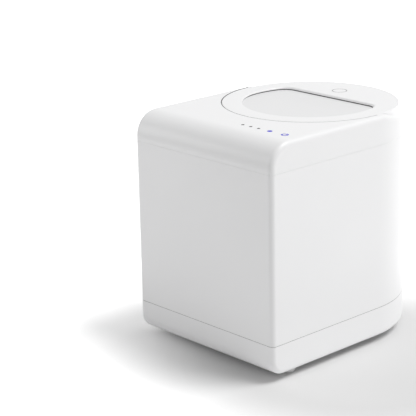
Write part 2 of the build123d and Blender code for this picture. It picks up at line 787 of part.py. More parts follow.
# ---------------------------------------------------------------- bucket
# Drawn bucket with a flanged rim, a hollow dome over the coupling and two ears for the bail
with BuildPart() as bucket:
    with BuildSketch(Plane.XZ.offset(-bucket_centre)) as section:
        with BuildLine():
            Polyline(
                (shaft_bush_outer + fit, dome_under),
                (dome_radius, dome_under),
                (dome_radius, bucket_base),
                (bucket_base_radius, bucket_base),
                (bucket_radius, flange_under),
                (bucket_radius + bucket_flange, flange_under),
                (bucket_radius + bucket_flange, flange_top),
                (bucket_radius - bucket_wall, flange_top),
                (bucket_base_radius - bucket_wall, bucket_base + bucket_floor),
                (dome_radius + bucket_wall, bucket_base + bucket_floor),
                (dome_radius + bucket_wall, dome_top),
                (shaft_bush_outer + fit, dome_top),
                close=True,
            )
        make_face()
        fillet(section.vertices().group_by(Axis.Y)[0].sort_by(Axis.X)[-1], bucket_corner)
        fillet(section.vertices().group_by(Axis.Y)[1].sort_by(Axis.X)[-1], bucket_corner - bucket_wall)
    revolve(axis=Axis((0, bucket_centre, 0), (0, 0, 1)))
    for side in (-1, 1):
        ear_x = side * (bucket_radius + bucket_flange - 2) - (ear_thickness if side > 0 else 0)
        with BuildSketch(Plane.YZ.offset(ear_x)):
            with Locations((bucket_centre, (flange_top + bail_z) / 2)):
                Rectangle(ear_width, bail_z - flange_top)
            with Locations((bucket_centre, bail_z)):
                Circle(ear_width / 2)
                Circle(bail_rod + fit, mode=Mode.SUBTRACT)
        extrude(amount=ear_thickness)
finish(bucket, "bucket")

with BuildPart() as shaft_bush:
    ring(shaft_bush_outer, rotor_shaft_radius + fit, dome_under, dome_top, bucket_place)
    ring(shaft_bush_outer + 2, rotor_shaft_radius + fit, dome_top, dome_top + bucket_wall, bucket_place)
finish(shaft_bush, "shaft_bush")

# Breaker blades fixed to the bucket's wall between the two levels of rotor arms
hub_z = dome_top + bucket_wall + clearance
lower_arm_z = hub_z + 2
upper_arm_z = lower_arm_z + upper_arm_rise
blade_z = lower_arm_z + arm_thickness + (upper_arm_rise - arm_thickness - blade_thickness) / 2
taper = (bucket_radius - bucket_base_radius) / (flange_under - bucket_base)
inner_wall = bucket_base_radius - bucket_wall + taper * (blade_z - bucket_base - bucket_floor)
with BuildPart() as fixed_blades:
    sectors(inner_wall, inner_wall - blade_reach, blade_z, blade_z + blade_thickness,
            bucket_place, blade_count, degrees(blade_width / inner_wall), 30)
finish(fixed_blades, "fixed_blades")

# Bail: half ring folded on the rim, with a pin at each end that turns in its ear
pin_reach = bucket_radius + bucket_flange - 2
arm_radius = pin_reach - ear_thickness - clearance * 4 - bail_rod
with BuildPart() as bucket_bail:
    with BuildSketch(Plane.XZ.offset(-bucket_centre)):
        with Locations((-arm_radius, bail_z)):
            Circle(bail_rod)
    revolve(axis=Axis((0, bucket_centre, 0), (0, 0, 1)), revolution_arc=180)
    for side in (-1, 1):
        with Locations((side * arm_radius, bucket_centre, bail_z)):
            Sphere(bail_rod)
        with BuildSketch(Plane.YZ.offset(side * arm_radius)):
            with Locations((bucket_centre, bail_z)):
                Circle(bail_rod)
        extrude(amount=side * (pin_reach - arm_radius))
finish(bucket_bail, "bucket_bail")

with BuildPart() as bail_grip:
    with BuildSketch(Plane.XZ.offset(-bucket_centre)):
        with Locations((-arm_radius, bail_z)):
            Circle(grip_radius)
            Circle(bail_rod + fit, mode=Mode.SUBTRACT)
    revolve(axis=Axis((0, bucket_centre, 0), (0, 0, 1)), revolution_arc=grip_angle)
grip_turn = Location((0, bucket_centre, 0), (0, 0, 90 - grip_angle / 2))
bail_grip.part = grip_turn * Pos(0, -bucket_centre, 0) * bail_grip.part
finish(bail_grip, "bail_grip")

# ---------------------------------------------------------------- grinder rotor
hub_top = hub_z + rotor_hub_height
paddle_z = bucket_base + bucket_floor + paddle_clearance
with BuildPart() as grinder_rotor:
    ring(rotor_hub_radius, 0, hub_z, hub_top, bucket_place)
    chamfer(grinder_rotor.edges().group_by(Axis.Z)[-1], 2)
    for side in (-1, 1):
        ends = sorted((0, side * rotor_reach))
        block(ends, (bucket_centre - arm_width / 2, bucket_centre + arm_width / 2),
              (lower_arm_z, lower_arm_z + arm_thickness))
        block(sorted((side * paddle_inner, side * rotor_reach)),
              sorted((bucket_centre, bucket_centre + side * arm_width / 2)),
              (paddle_z, lower_arm_z + arm_thickness))
        y_ends = sorted((bucket_centre, bucket_centre + side * rotor_reach))
        block((-arm_width / 2, arm_width / 2), y_ends, (upper_arm_z, upper_arm_z + arm_thickness))
        tip = sorted((bucket_centre + side * (rotor_reach - arm_width), bucket_centre + side * rotor_reach))
        block((-arm_width / 2, arm_width / 2), tip, (upper_arm_z, upper_arm_z + 2 * arm_thickness))
    ring(rotor_shaft_radius + fit, 0, hub_z, hub_top, bucket_place, mode=Mode.SUBTRACT)
finish(grinder_rotor, "grinder_rotor")

with BuildPart() as rotor_shaft:
    ring(rotor_shaft_radius, 0, driven_under, hub_top + rotor_shaft_radius, bucket_place)
finish(rotor_shaft, "rotor_shaft")

with BuildPart() as driven_coupling:
    ring(coupling_radius, 0, driven_under, driven_under + coupling_plate, bucket_place)
    sectors(coupling_radius - 1, dog_inner, driven_under - dog_height, driven_under, bucket_place,
            dog_count, dog_arc, 180 / dog_count)
    ring(rotor_shaft_radius + fit, 0, driven_under, driven_under + coupling_plate, bucket_place,
         mode=Mode.SUBTRACT)
finish(driven_coupling, "driven_coupling")

with BuildPart() as rotor_nut:
    with BuildSketch(Plane.XY.offset(hub_top)):
        with Locations(bucket_place):
            RegularPolygon(rotor_shaft_radius * 1.9, 6)
    extrude(amount=rotor_shaft_radius * 1.6)
    ring(rotor_shaft_radius + fit, 0, hub_top, hub_top + rotor_shaft_radius + fit, bucket_place,
         mode=Mode.SUBTRACT)
finish(rotor_nut, "rotor_nut")

# ---------------------------------------------------------------- lid
def recess_outline(grow):
    """D shape about the lid's middle, straight side to the back."""
    with BuildSketch() as outline:
        with Locations(lid_place):
            Circle(recess_radius + grow)
        with Locations((0, lid_y + recess_chord + grow)):
            Rectangle(body_width, body_width, align=(Align.CENTER, Align.MIN), mode=Mode.SUBTRACT)
    return outline.sketch


# The recess floor is scooped: it falls away from the front and is level at the straight side behind
recess_run = recess_radius + recess_chord
recess_front = lid_y - recess_radius
recess_floor_z = z_top - recess_depth


floor_shares = [0, grip_start, 0.4, 0.6, 0.8, 1]


def floor_height(share):
    """Height of the scooped floor at a share of its run from the front."""
    return recess_floor_z + (recess_depth - recess_lip) * (1 - share) ** 2


with BuildSketch() as above_floor:
    with BuildLine():
        Spline(
            *[(recess_front + recess_run * share, floor_height(share)) for share in floor_shares],
            tangents=[(recess_run, 2 * (recess_lip - recess_depth)), (1, 0)],
        )
        Polyline(
            (recess_front + recess_run, recess_floor_z),
            (back, recess_floor_z),
            (back, z_top + recess_depth),
            (recess_front, z_top + recess_depth),
            (recess_front, z_top - recess_lip),
        )
    make_face()

with BuildPart() as recess_form:
    with BuildSketch(Plane.XY.offset(recess_floor_z)):
        add(recess_outline(0))
    extrude(amount=2 * recess_depth)
    fillet(recess_form.edges().filter_by(Axis.Z).group_by(Axis.Y)[-1], recess_corner)
    with BuildSketch(Plane.YZ):
        add(above_floor.sketch)
    extrude(amount=half_width, both=True, mode=Mode.INTERSECT)

# Wedge-shaped undercut along the foot of the wall; it runs out to nothing towards the front
grip_front = recess_front + recess_run * grip_start
with BuildPart() as grip_form:
    with BuildSketch(Plane.XY.offset(recess_floor_z)):
        add(recess_outline(grip_depth))
    extrude(amount=recess_depth)
    fillet(grip_form.edges().filter_by(Axis.Z).group_by(Axis.Y)[-1], recess_corner + grip_depth)
    with BuildSketch() as wedge:
        add(above_floor.sketch)
        with BuildLine():
            Polyline(
                (grip_front, floor_height(grip_start)),
                (recess_front + recess_run, recess_floor_z + grip_height),
                (back, recess_floor_z + grip_height),
                (back, recess_floor_z - grip_height),
                (grip_front, recess_floor_z - grip_height),
                close=True,
            )
        make_face(mode=Mode.INTERSECT)
    with BuildSketch(Plane.YZ):
        add(wedge.sketch)
    extrude(amount=half_width, both=True, mode=Mode.INTERSECT)

latch_inner = chamber_radius + chamber_wall + lug_reach + clearance * 2
skirt_low = lid_seat + clearance
pan_low = z_top - recess_depth - lid_wall
boss_low = plate_top + clearance
with BuildPart() as lid_cover:
    ring(lid_radius, 0, skirt_low, z_top, lid_place)
    fillet(lid_cover.edges().group_by(Axis.Z)[-1], lid_edge)
    ring(lid_radius - lid_wall, 0, skirt_low, z_top - lid_wall, lid_place, mode=Mode.SUBTRACT)
    with BuildSketch(Plane.XY.offset(pan_low)):
        add(recess_outline(grip_depth + lid_wall))
    extrude(amount=z_top - lid_wall - pan_low)
    ring(latch_inner + latch_wall, latch_inner, skirt_low, z_top - lid_wall, lid_place)
    sectors(latch_inner + latch_wall / 2, latch_inner - lug_reach, skirt_low + clearance,
            skirt_low + clearance + lug_thickness, lid_place, lug_count, lug_arc, lug_offset)
    ring(pivot_radius, 0, boss_low, pan_low, lid_place)
    add(recess_form.part, mode=Mode.SUBTRACT)
    add(grip_form.part, mode=Mode.SUBTRACT)
    ring(pivot_screw_radius + fit, 0, boss_low, pan_low + lid_wall / 2, lid_place, mode=Mode.SUBTRACT)
finish(lid_cover, "lid_cover")

# Inner plate that stays still while the cover turns, with the hub for the cover's pivot
plate_edge = chamber_radius - gasket_width - clearance
with BuildPart() as lid_plate:
    ring(plate_edge, 0, plate_low, plate_top, lid_place)
    ring(plate_edge + gasket_width / 2, plate_edge - plate_rim, plate_top, plate_top + plate_rim, lid_place)
    ring(pivot_radius + clearance + plate_rim, 0, plate_top, plate_top + 2 * plate_rim, lid_place)
    ring(pivot_radius + clearance, 0, plate_top, plate_top + 2 * plate_rim, lid_place, mode=Mode.SUBTRACT)
    ring(pivot_screw_radius + clearance, 0, plate_low, plate_top, lid_place, mode=Mode.SUBTRACT)
finish(lid_plate, "lid_plate")

with BuildPart() as lid_gasket:
    ring(plate_edge + gasket_width, plate_edge + fit, plate_low, plate_top, lid_place)
finish(lid_gasket, "lid_gasket")

with BuildPart() as lid_pivot_screw:
    ring(pivot_screw_radius * 2, 0, plate_low - clearance - screw_head, plate_low - clearance, lid_place)
    ring(pivot_screw_radius, 0, plate_low - clearance, pan_low, lid_place)
finish(lid_pivot_screw, "lid_pivot_screw")

magnet_y = lid_y - (latch_inner + latch_wall + lid_radius - lid_wall) / 2
with BuildPart() as lid_magnet:
    block((-magnet_width / 2, magnet_width / 2),
          (magnet_y - magnet_thickness / 2, magnet_y + magnet_thickness / 2),
          (skirt_low + clearance, z_top - lid_wall))
finish(lid_magnet, "lid_magnet")

with BuildPart() as lid_switch:
    block((-magnet_width, magnet_width),
          (magnet_y - magnet_width / 2, lid_y - collar_radius - clearance),
          (lid_seat - wall - magnet_width, lid_seat - wall))
finish(lid_switch, "lid_switch")

# ---------------------------------------------------------------- filter and blower
with BuildPart() as filter_sleeve:
    ring(sleeve_outer, sleeve_inner, sleeve_base, deck_under, filter_place)
    ring(sleeve_outer, blower_inlet, sleeve_base, sleeve_base + sleeve_wall, filter_place)
    ring(sleeve_outer + well_flange, sleeve_inner, deck_under - sleeve_wall, deck_under, filter_place)
    block((-half_width, half_width), (front, flange_split + clearance),
          (deck_under - sleeve_wall, deck_under), mode=Mode.SUBTRACT)
finish(filter_sleeve, "filter_sleeve")

with BuildPart() as filter_canister:
    ring(filter_radius, filter_radius - filter_wall, filter_base, filter_top, filter_place)
    ring(filter_radius, 0, filter_base, filter_base + filter_wall, filter_place)
    ring(filter_radius + filter_flange, filter_radius - filter_wall, z_cap + clearance, filter_top,
         filter_place)
    sectors(filter_radius * 0.85, filter_radius * 0.35, filter_base, filter_base + filter_wall,
            filter_place, vent_count, 180 / vent_count, 0, mode=Mode.SUBTRACT)
finish(filter_canister, "filter_canister")

with BuildPart() as carbon_bed:
    ring(filter_radius - filter_wall - fit, 0, filter_base + filter_wall, filter_top - filter_wall,
         filter_place)
finish(carbon_bed, "carbon_bed")

# Filter cap with sector vents and a finger bar to pull the canister out
with BuildPart() as filter_cap:
    ring(filter_radius + filter_flange, 0, filter_top, filter_top + filter_wall * 2, filter_place)
    sectors(filter_radius * 0.85, filter_radius * 0.5, filter_top, filter_top + filter_wall * 2,
            filter_place, vent_count, 180 / vent_count, 180 / vent_count, mode=Mode.SUBTRACT)
    cap_top = filter_top + filter_wall * 2
    block((-filter_grip, filter_grip), (filter_centre - filter_wall, filter_centre + filter_wall),
          (cap_top, cap_top + filter_grip))
finish(filter_cap, "filter_cap")


def blower_outline(inset):
    """Blower plan: round scroll with a straight outlet to the back."""
    with BuildSketch() as outline:
        with Locations(filter_place):
            Circle(blower_radius - inset)
        with Locations((outlet_x, filter_centre)):
            Rectangle(outlet_width - 2 * inset, blower_radius, align=(Align.CENTER, Align.MIN))
    return outline.sketch


with BuildPart() as blower_housing:
    with BuildSketch(Plane.XY.offset(blower_base)):
        add(blower_outline(0))
    extrude(amount=blower_height)
    with BuildSketch(Plane.XY.offset(blower_base + blower_wall)):
        add(blower_outline(blower_wall))
    extrude(amount=blower_height - 2 * blower_wall, mode=Mode.SUBTRACT)
    ring(blower_inlet, 0, sleeve_base - blower_wall, sleeve_base, filter_place, mode=Mode.SUBTRACT)
    ring(blower_hub + 1, 0, blower_base, blower_base + blower_wall, filter_place, mode=Mode.SUBTRACT)
finish(blower_housing, "blower_housing")

# Squirrel-cage wheel: back plate, blades, shroud ring and the motor's shaft
wheel_low = blower_base + blower_wall + 2
wheel_high = sleeve_base - blower_wall - 2
with BuildPart() as blower_wheel:
    ring(wheel_radius, 0, wheel_low, wheel_low + blade_sheet, filter_place)
    ring(blower_hub, 0, wheel_low, (wheel_low + wheel_high) / 2, filter_place)
    with BuildSketch(Plane.XY.offset(wheel_low)):
        with Locations(filter_place):
            with PolarLocations(wheel_radius - blade_chord / 2, wheel_blades):
                Rectangle(blade_chord, blade_sheet)
    extrude(amount=wheel_high - wheel_low)
    ring(wheel_radius, wheel_radius - blade_chord / 2, wheel_high - blade_sheet, wheel_high, filter_place)
    ring(blower_shaft, 0, blower_base - blower_motor_height / 2, wheel_low, filter_place)
finish(blower_wheel, "blower_wheel")

with BuildPart() as blower_motor:
    ring(blower_motor_radius, 0, blower_base - blower_motor_height, blower_base, filter_place)
    ring(blower_shaft + fit, 0, blower_base - blower_motor_height / 2 - 1, blower_base, filter_place,
         mode=Mode.SUBTRACT)
finish(blower_motor, "blower_motor")

with BuildPart() as exhaust_duct:
    block((outlet_x - outlet_width / 2, outlet_x + outlet_width / 2),
          (filter_centre + blower_radius, back), (blower_base, sleeve_base))
    block((outlet_x - outlet_width / 2 + blower_wall, outlet_x + outlet_width / 2 - blower_wall),
          (filter_centre + blower_radius, back), (blower_base + blower_wall, sleeve_base - blower_wall),
          mode=Mode.SUBTRACT)
    ring(half_width - wall - fit, 0, blower_base, sleeve_base, lid_place, mode=Mode.INTERSECT)
finish(exhaust_duct, "exhaust_duct")

# ---------------------------------------------------------------- controls
control_left = control_board_x - control_board_width / 2
with BuildPart() as control_board:
    block((control_left, control_left + control_board_width),
          (board_front, board_front + control_board_depth), (board_z - board_thickness, board_z))
    for share in (0.2, 0.5, 0.8):
        part_x = control_left + share * control_board_width
        block((part_x - chip_width / 2, part_x + chip_width / 2),
              (front + control_y - chip_width / 2, front + control_y + chip_width / 2),
              (board_z - board_thickness - chip_height, board_z - board_thickness))
finish(control_board, "control_board")

with BuildPart() as light_guides:
    for x, radius in light_holes[:-1]:
        ring(radius, 0, board_z, z_top, (x, front + control_y))
finish(light_guides, "light_guides")

with BuildPart() as status_light:
    ring(status_light_radius, 0, board_z, z_top, (status_light_x, front + control_y))
finish(status_light, "status_light")

# Touch sensor: spring post with a disc pressed against the underside of the cap
with BuildPart() as touch_pad:
    ring(touch_radius, 0, z_top - wall - 1, z_top - wall, (touch_x, front + control_y))
    ring(touch_radius / 2, 0, board_z, z_top - wall - 1, (touch_x, front + control_y))
finish(touch_pad, "touch_pad")

board_low = floor_top + main_board_floor
board_face = board_y + board_thickness / 2
with BuildPart() as main_board:
    block((-main_board_width / 2, main_board_width / 2),
          (board_y - board_thickness / 2, board_face), (board_low, board_low + main_board_height))
finish(main_board, "main_board")

# Parts on the main board's two ends, on the side that faces the motor: transformer, relays, capacitors
with BuildPart() as board_parts:
    for left, width, low, height in (
        (-0.39, transformer_width, 0.37, transformer_width),
        (0.21, relay_width, 0.5, relay_height),
        (0.34, relay_width, 0.5, relay_height),
    ):
        x_low, z_low = left * main_board_width, board_low + low * main_board_height
        block((x_low, x_low + width), (board_face, board_face + board_part_depth), (z_low, z_low + height))
    with BuildSketch(Plane.XZ.offset(-board_face)):
        for across, up in ((-0.41, 0.85), (-0.29, 0.85), (0.25, 0.32)):
            with Locations((across * main_board_width, board_low + up * main_board_height)):
                Circle(capacitor_radius)
    extrude(amount=-board_part_depth)
finish(board_parts, "board_parts")

# ---------------------------------------------------------------- mains inlet
cup_back = back - cup_depth
with BuildPart() as inlet_cup:
    with BuildSketch(Plane.XZ.offset(-(cup_back - cup_wall))):
        with Locations((0, inlet_z)):
            RectangleRounded(cup_width + 2 * cup_flange, cup_height + 2 * cup_flange, cup_corner)
    extrude(amount=-2 * cup_depth)
    ring(half_width - wall - fit, half_width - wall - fit - cup_wall, inlet_z - cup_height,
         inlet_z + cup_height, lid_place, mode=Mode.INTERSECT)
    with BuildSketch(Plane.XZ.offset(-(cup_back - cup_wall))):
        with Locations((0, inlet_z)):
            RectangleRounded(cup_width, cup_height, cup_corner)
    extrude(amount=-2 * cup_depth)
    ring(half_width, 0, inlet_z - cup_height, inlet_z + cup_height, lid_place, mode=Mode.INTERSECT)
    with BuildSketch(Plane.XZ.offset(-cup_back)):
        with Locations((0, inlet_z)):
            RectangleRounded(cup_width - 2 * cup_wall, cup_height - 2 * cup_wall, cup_corner - cup_wall)
    extrude(amount=-2 * cup_depth, mode=Mode.SUBTRACT)
    with BuildSketch(Plane.XZ.offset(-(cup_back - cup_wall))):
        with Locations((0, inlet_z)):
            Rectangle(socket_width + 2 * fit, socket_height + 2 * fit)
        with Locations(*screw_places):
            Circle(screw_radius + fit)
    extrude(amount=-cup_wall, mode=Mode.SUBTRACT)
finish(inlet_cup, "inlet_cup")

with BuildPart() as inlet_socket:
    with BuildSketch(Plane.XZ.offset(-(cup_back - socket_depth))):
        with Locations((0, inlet_z)):
            Rectangle(socket_width, socket_height)
    extrude(amount=-socket_depth)
    with BuildSketch(Plane.XZ.offset(-cup_back)):
        with Locations((0, inlet_z)):
            RectangleRounded(socket_flange_width, socket_flange_height, socket_wall)
    extrude(amount=-socket_flange)
    with BuildSketch(Plane.XZ.offset(-(cup_back - socket_depth + socket_wall))):
        with Locations((0, inlet_z)):
            Rectangle(socket_width - 2 * socket_wall, socket_height - 2 * socket_wall)
    extrude(amount=-2 * socket_depth, mode=Mode.SUBTRACT)
    with BuildSketch(Plane.XZ.offset(-cup_back)):
        with Locations(*screw_places):
            Circle(screw_radius + fit)
    extrude(amount=-socket_flange, mode=Mode.SUBTRACT)
finish(inlet_socket, "inlet_socket")

with BuildPart() as inlet_pins:
    with BuildSketch(Plane.XZ.offset(-(cup_back - socket_depth + socket_wall))):
        with Locations((-pin_pitch, inlet_z - pin_rise), (0, inlet_z + pin_rise),
                       (pin_pitch, inlet_z - pin_rise)):
            Rectangle(pin_width, pin_height)
    extrude(amount=-pin_length)
finish(inlet_pins, "inlet_pins")

with BuildPart() as inlet_screws:
    for x, z in screw_places:
        with BuildSketch(Plane.XZ.offset(-(cup_back - cup_wall))):
            with Locations((x, z)):
                Circle(screw_radius)
        extrude(amount=-(cup_wall + socket_flange))
        with BuildSketch(Plane.XZ.offset(-(cup_back + socket_flange))):
            with Locations((x, z)):
                Circle(screw_head_radius - 1)
        extrude(amount=-2)
finish(inlet_screws, "inlet_screws")

# ---------------------------------------------------------------- screws
with BuildPart() as tray_screws:
    for place in tray_posts:
        ring(screw_head_radius, 0, z_tray, z_tray + screw_head, place)
        ring(screw_radius, 0, z_tray + screw_head, z_wrap + boss_height - 2, place)
finish(tray_screws, "tray_screws")

with BuildPart() as cap_screws:
    for place in cap_posts:
        ring(screw_head_radius, 0, z_cap - boss_height - screw_head, z_cap - boss_height, place)
        ring(screw_radius, 0, z_cap - boss_height, z_cap + cap_post_height - wall - 1, place)
finish(cap_screws, "cap_screws")

with BuildPart() as deck_screws:
    for place in deck_posts:
        ring(screw_head_radius, 0, deck_under - screw_head, deck_under, place)
        ring(screw_radius, 0, deck_under, z_cap + cap_post_height - wall - 1, place)
finish(deck_screws, "deck_screws")

with BuildPart() as gearbox_screws:
    for place in gearbox_ears:
        ring(screw_head_radius, 0, cover_top, cover_top + screw_head, place)
        ring(screw_radius, 0, floor_top + 2, cover_top, place)
finish(gearbox_screws, "gearbox_screws")
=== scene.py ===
import json
from math import cos, pi, radians, sin

import bmesh
import bpy
from mathutils import Matrix, Vector

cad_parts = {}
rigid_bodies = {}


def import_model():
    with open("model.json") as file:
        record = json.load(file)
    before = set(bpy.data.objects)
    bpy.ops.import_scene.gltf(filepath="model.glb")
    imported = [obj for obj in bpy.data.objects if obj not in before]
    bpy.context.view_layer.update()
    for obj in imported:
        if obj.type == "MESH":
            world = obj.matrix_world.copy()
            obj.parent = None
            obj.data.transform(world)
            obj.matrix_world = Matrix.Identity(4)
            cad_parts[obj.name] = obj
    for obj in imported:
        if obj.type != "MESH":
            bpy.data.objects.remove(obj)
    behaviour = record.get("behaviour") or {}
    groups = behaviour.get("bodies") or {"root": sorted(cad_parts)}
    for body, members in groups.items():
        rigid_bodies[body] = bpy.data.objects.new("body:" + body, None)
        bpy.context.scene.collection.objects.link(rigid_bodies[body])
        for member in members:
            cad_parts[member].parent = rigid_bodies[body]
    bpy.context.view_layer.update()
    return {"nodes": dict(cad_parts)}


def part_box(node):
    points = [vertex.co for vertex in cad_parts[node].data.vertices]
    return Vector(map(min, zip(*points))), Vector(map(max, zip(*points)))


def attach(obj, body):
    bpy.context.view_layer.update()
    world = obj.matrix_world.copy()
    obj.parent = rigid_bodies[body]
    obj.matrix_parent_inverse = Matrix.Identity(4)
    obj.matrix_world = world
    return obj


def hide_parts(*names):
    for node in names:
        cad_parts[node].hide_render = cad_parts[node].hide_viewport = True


for leftover in list(bpy.data.objects):
    bpy.data.objects.remove(leftover)
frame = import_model()

# ---------------------------------------------------------------- bottom tray
# The tray is a satin white ABS moulding that carries everything else.  Its tool is spark
# finished, so the skin has a fine even grain, with the faint waviness of a thin moulded
# wall under it.
SHELL_WHITE = (0.87, 0.87, 0.875, 1)


class Signal:
    """A socket of a node tree; arithmetic on it adds Math nodes."""

    def __init__(self, tree, socket):
        self.tree = tree
        self.socket = socket

    def math(self, operation, first, second=0.0):
        return self.tree.node("ShaderNodeMath", {"operation": operation}, {0: first, 1: second})

    def __add__(self, other):
        return self.math("ADD", self, other)

    def __sub__(self, other):
        return self.math("SUBTRACT", self, other)

    def __rsub__(self, other):
        return self.math("SUBTRACT", other, self)

    def __mul__(self, other):
        return self.math("MULTIPLY", self, other)

    def __truediv__(self, other):
        return self.math("DIVIDE", self, other)

    __radd__ = __add__
    __rmul__ = __mul__

    def between(self, low, high):
        """Smooth step from 0 at low to 1 at high."""
        return self.tree.node("ShaderNodeMapRange", {"interpolation_type": "SMOOTHSTEP"},
                              {0: self, 1: low, 2: high})


class NodeTree:
    """A node tree being put together."""

    def __init__(self, tree):
        self.tree = tree

    def node(self, kind, settings=None, feeds=None, out=0):
        """Adds a node: its settings first, then the values or links of its sockets."""
        node = self.tree.nodes.new(kind)
        for key, value in (settings or {}).items():
            setattr(node, key, value)
        for key, value in (feeds or {}).items():
            for one in value if isinstance(value, list) else [value]:
                if isinstance(one, Signal):
                    self.tree.links.new(one.socket, node.inputs[key])
                else:
                    node.inputs[key].default_value = one
        return Signal(self, node.outputs[out])


class Finish(NodeTree):
    """A material in the making: its shader's plain values, and what varies over it."""

    def __init__(self, name, **plain):
        self.material = bpy.data.materials.new(name)
        self.material.use_nodes = True
        super().__init__(self.material.node_tree)
        self.shader = self.tree.nodes["Principled BSDF"]
        for socket, value in plain.items():
            self.shader.inputs[socket.replace("_", " ")].default_value = value
        self.place = self.node("ShaderNodeTexCoord", out="Object")

    def stretched(self, *scale):
        return self.node("ShaderNodeVectorMath", {"operation": "MULTIPLY"},
                         {0: self.place, 1: scale})

    def noise(self, scale, detail=2.0, at=None):
        return self.node("ShaderNodeTexNoise", None,
                         {"Vector": at or self.place, "Scale": scale, "Detail": detail})

    def tint(self, mask, low, high):
        """Colour that goes from low to high with the mask; either may be a signal."""
        return self.node("ShaderNodeMix", {"data_type": "RGBA"}, {0: mask, 6: low, 7: high}, 2)

    def feed(self, **signals):
        for socket, signal in signals.items():
            self.tree.links.new(signal.socket, self.shader.inputs[socket.replace("_", " ")])

    def relief(self, height, depth, strength=0.5):
        """Bump of that depth in metres."""
        self.feed(Normal=self.node("ShaderNodeBump", None,
                                   {"Strength": strength, "Distance": depth, "Height": height}))

    def paint(self, *nodes):
        """Puts the finish on CAD nodes."""
        for name in nodes:
            for slot in frame["nodes"][name].material_slots:
                slot.material = self.material


def shaded(colour, factor):
    """The colour scaled in brightness."""
    return tuple(channel * factor for channel in colour[:3]) + (1,)


def moulded(name, colour, roughness, grain=1500.0, depth=0.00003, **plain):
    """Plastic or rubber from a textured tool."""
    finish = Finish(name, **plain)
    sweep = finish.noise(7.0, 1.0)
    texture = finish.noise(grain)
    finish.feed(Base_Color=finish.tint(sweep, shaded(colour, 0.98), colour),
                Roughness=roughness - 0.04 + 0.08 * texture)
    finish.relief(texture, depth, 0.35)
    return finish


white_abs = moulded("satin_white_abs", SHELL_WHITE, 0.36)
white_abs.paint("base_tray")

# ---------------------------------------------------------------- feet
# Four soft feet of pale grey TPE are pressed into the tray by their stems.  Raised rings on
# the tread keep the machine from creeping while it grinds.
FOOT_GREY = (0.62, 0.62, 0.62, 1)
FOOT_RADIUS, FOOT_TREAD, FOOT_STEM = 0.012, 0.009, 0.004
FOOT_CHAMFER, FOOT_RIB, FOOT_RINGS, STEM_TAPER = 0.0012, 0.0005, 4, 0.3
FOOT_SIDES, STEM_SIDES, RIB_SIDES = 48, 32, 8
SHARP_EDGE = radians(32)
SOCKET_KINDS = {int: "NodeSocketInt", float: "NodeSocketFloat", Vector: "NodeSocketVector",
                bpy.types.Material: "NodeSocketMaterial"}


class Recipe(NodeTree):
    """A Geometry Nodes tree in the making; its sizes are named inputs."""

    def __init__(self, name, **sizes):
        super().__init__(bpy.data.node_groups.new(name, "GeometryNodeTree"))
        face = self.tree.interface
        face.new_socket("Geometry", in_out="OUTPUT", socket_type="NodeSocketGeometry")
        face.new_socket("Geometry", in_out="INPUT", socket_type="NodeSocketGeometry")
        for label, kind in {**sizes, "Finish": bpy.types.Material}.items():
            face.new_socket(label.replace("_", " "), in_out="INPUT",
                            socket_type=SOCKET_KINDS[kind])
        self.inputs = self.tree.nodes.new("NodeGroupInput")

    def given(self, label="Geometry"):
        return Signal(self, self.inputs.outputs[label])

    def vector(self, x=0.0, y=0.0, z=0.0):
        return self.node("ShaderNodeCombineXYZ", None, {0: x, 1: y, 2: z})

    def moved(self, geometry, **change):
        """Geometry with a Translation, Rotation or Scale."""
        return self.node("GeometryNodeTransform", None, {"Geometry": geometry, **change})

    def tube(self, path, radius, sides):
        """Round bar of that radius along the path."""
        return self.node("GeometryNodeCurveToMesh", None, {0: path, 1: self.circle(radius, sides)})

    def circle(self, radius, sides):
        return self.node("GeometryNodeCurvePrimitiveCircle", None,
                         {"Resolution": sides, "Radius": radius})

    def cone(self, sides, bottom, top, depth):
        """Cone, or a cylinder where both radii are the same, standing on its lower end."""
        return self.node("GeometryNodeMeshCone", None,
                         {"Vertices": sides, "Radius Bottom": bottom, "Radius Top": top,
                          "Depth": depth})

    def joined(self, *parts):
        return self.node("GeometryNodeJoinGeometry", None, {0: list(parts)})

    def placed(self, part, points=None, **turn):
        """The part on each of the points."""
        return self.node("GeometryNodeInstanceOnPoints", None,
                         {"Points": points or self.given(), "Instance": part, **turn})

    def close(self, geometry):
        """Ends the tree: instances made real, finish set."""
        real = self.node("GeometryNodeRealizeInstances", None, {0: geometry})
        painted = self.node("GeometryNodeSetMaterial", None,
                            {0: real, "Material": self.given("Finish")})
        end = self.tree.nodes.new("NodeGroupOutput")
        self.tree.links.new(painted.socket, end.inputs[0])


def fitted(piece, body, slot, *nodes):
    """The piece rides on the body and stands for the nodes, which are hidden.  The slot is not
    used.
    """
    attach(piece, body)
    if nodes:
        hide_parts(*nodes)


def made(recipe, name, points, finish, **sizes):
    """Runs the recipe on the points and keeps the result as a plain piece."""
    seeds = bpy.data.meshes.new(name + "_points")
    seeds.from_pydata(points, [], [])
    blank = bpy.data.objects.new(name + "_blank", seeds)
    step = blank.modifiers.new("recipe", "NODES")
    step.node_group = recipe.tree
    sizes["Finish"] = finish.material
    for socket in recipe.tree.interface.items_tree:
        label = socket.name.replace(" ", "_")
        if socket.in_out == "INPUT" and label in sizes:
            step[socket.identifier] = sizes[label]
    bpy.context.scene.collection.objects.link(blank)
    depsgraph = bpy.context.evaluated_depsgraph_get()
    mesh = bpy.data.meshes.new_from_object(blank.evaluated_get(depsgraph))
    bpy.data.objects.remove(blank)
    mesh.shade_smooth()
    mesh.set_sharp_from_angle(angle=SHARP_EDGE)
    piece = bpy.data.objects.new(name, mesh)
    bpy.context.scene.collection.objects.link(piece)
    return piece


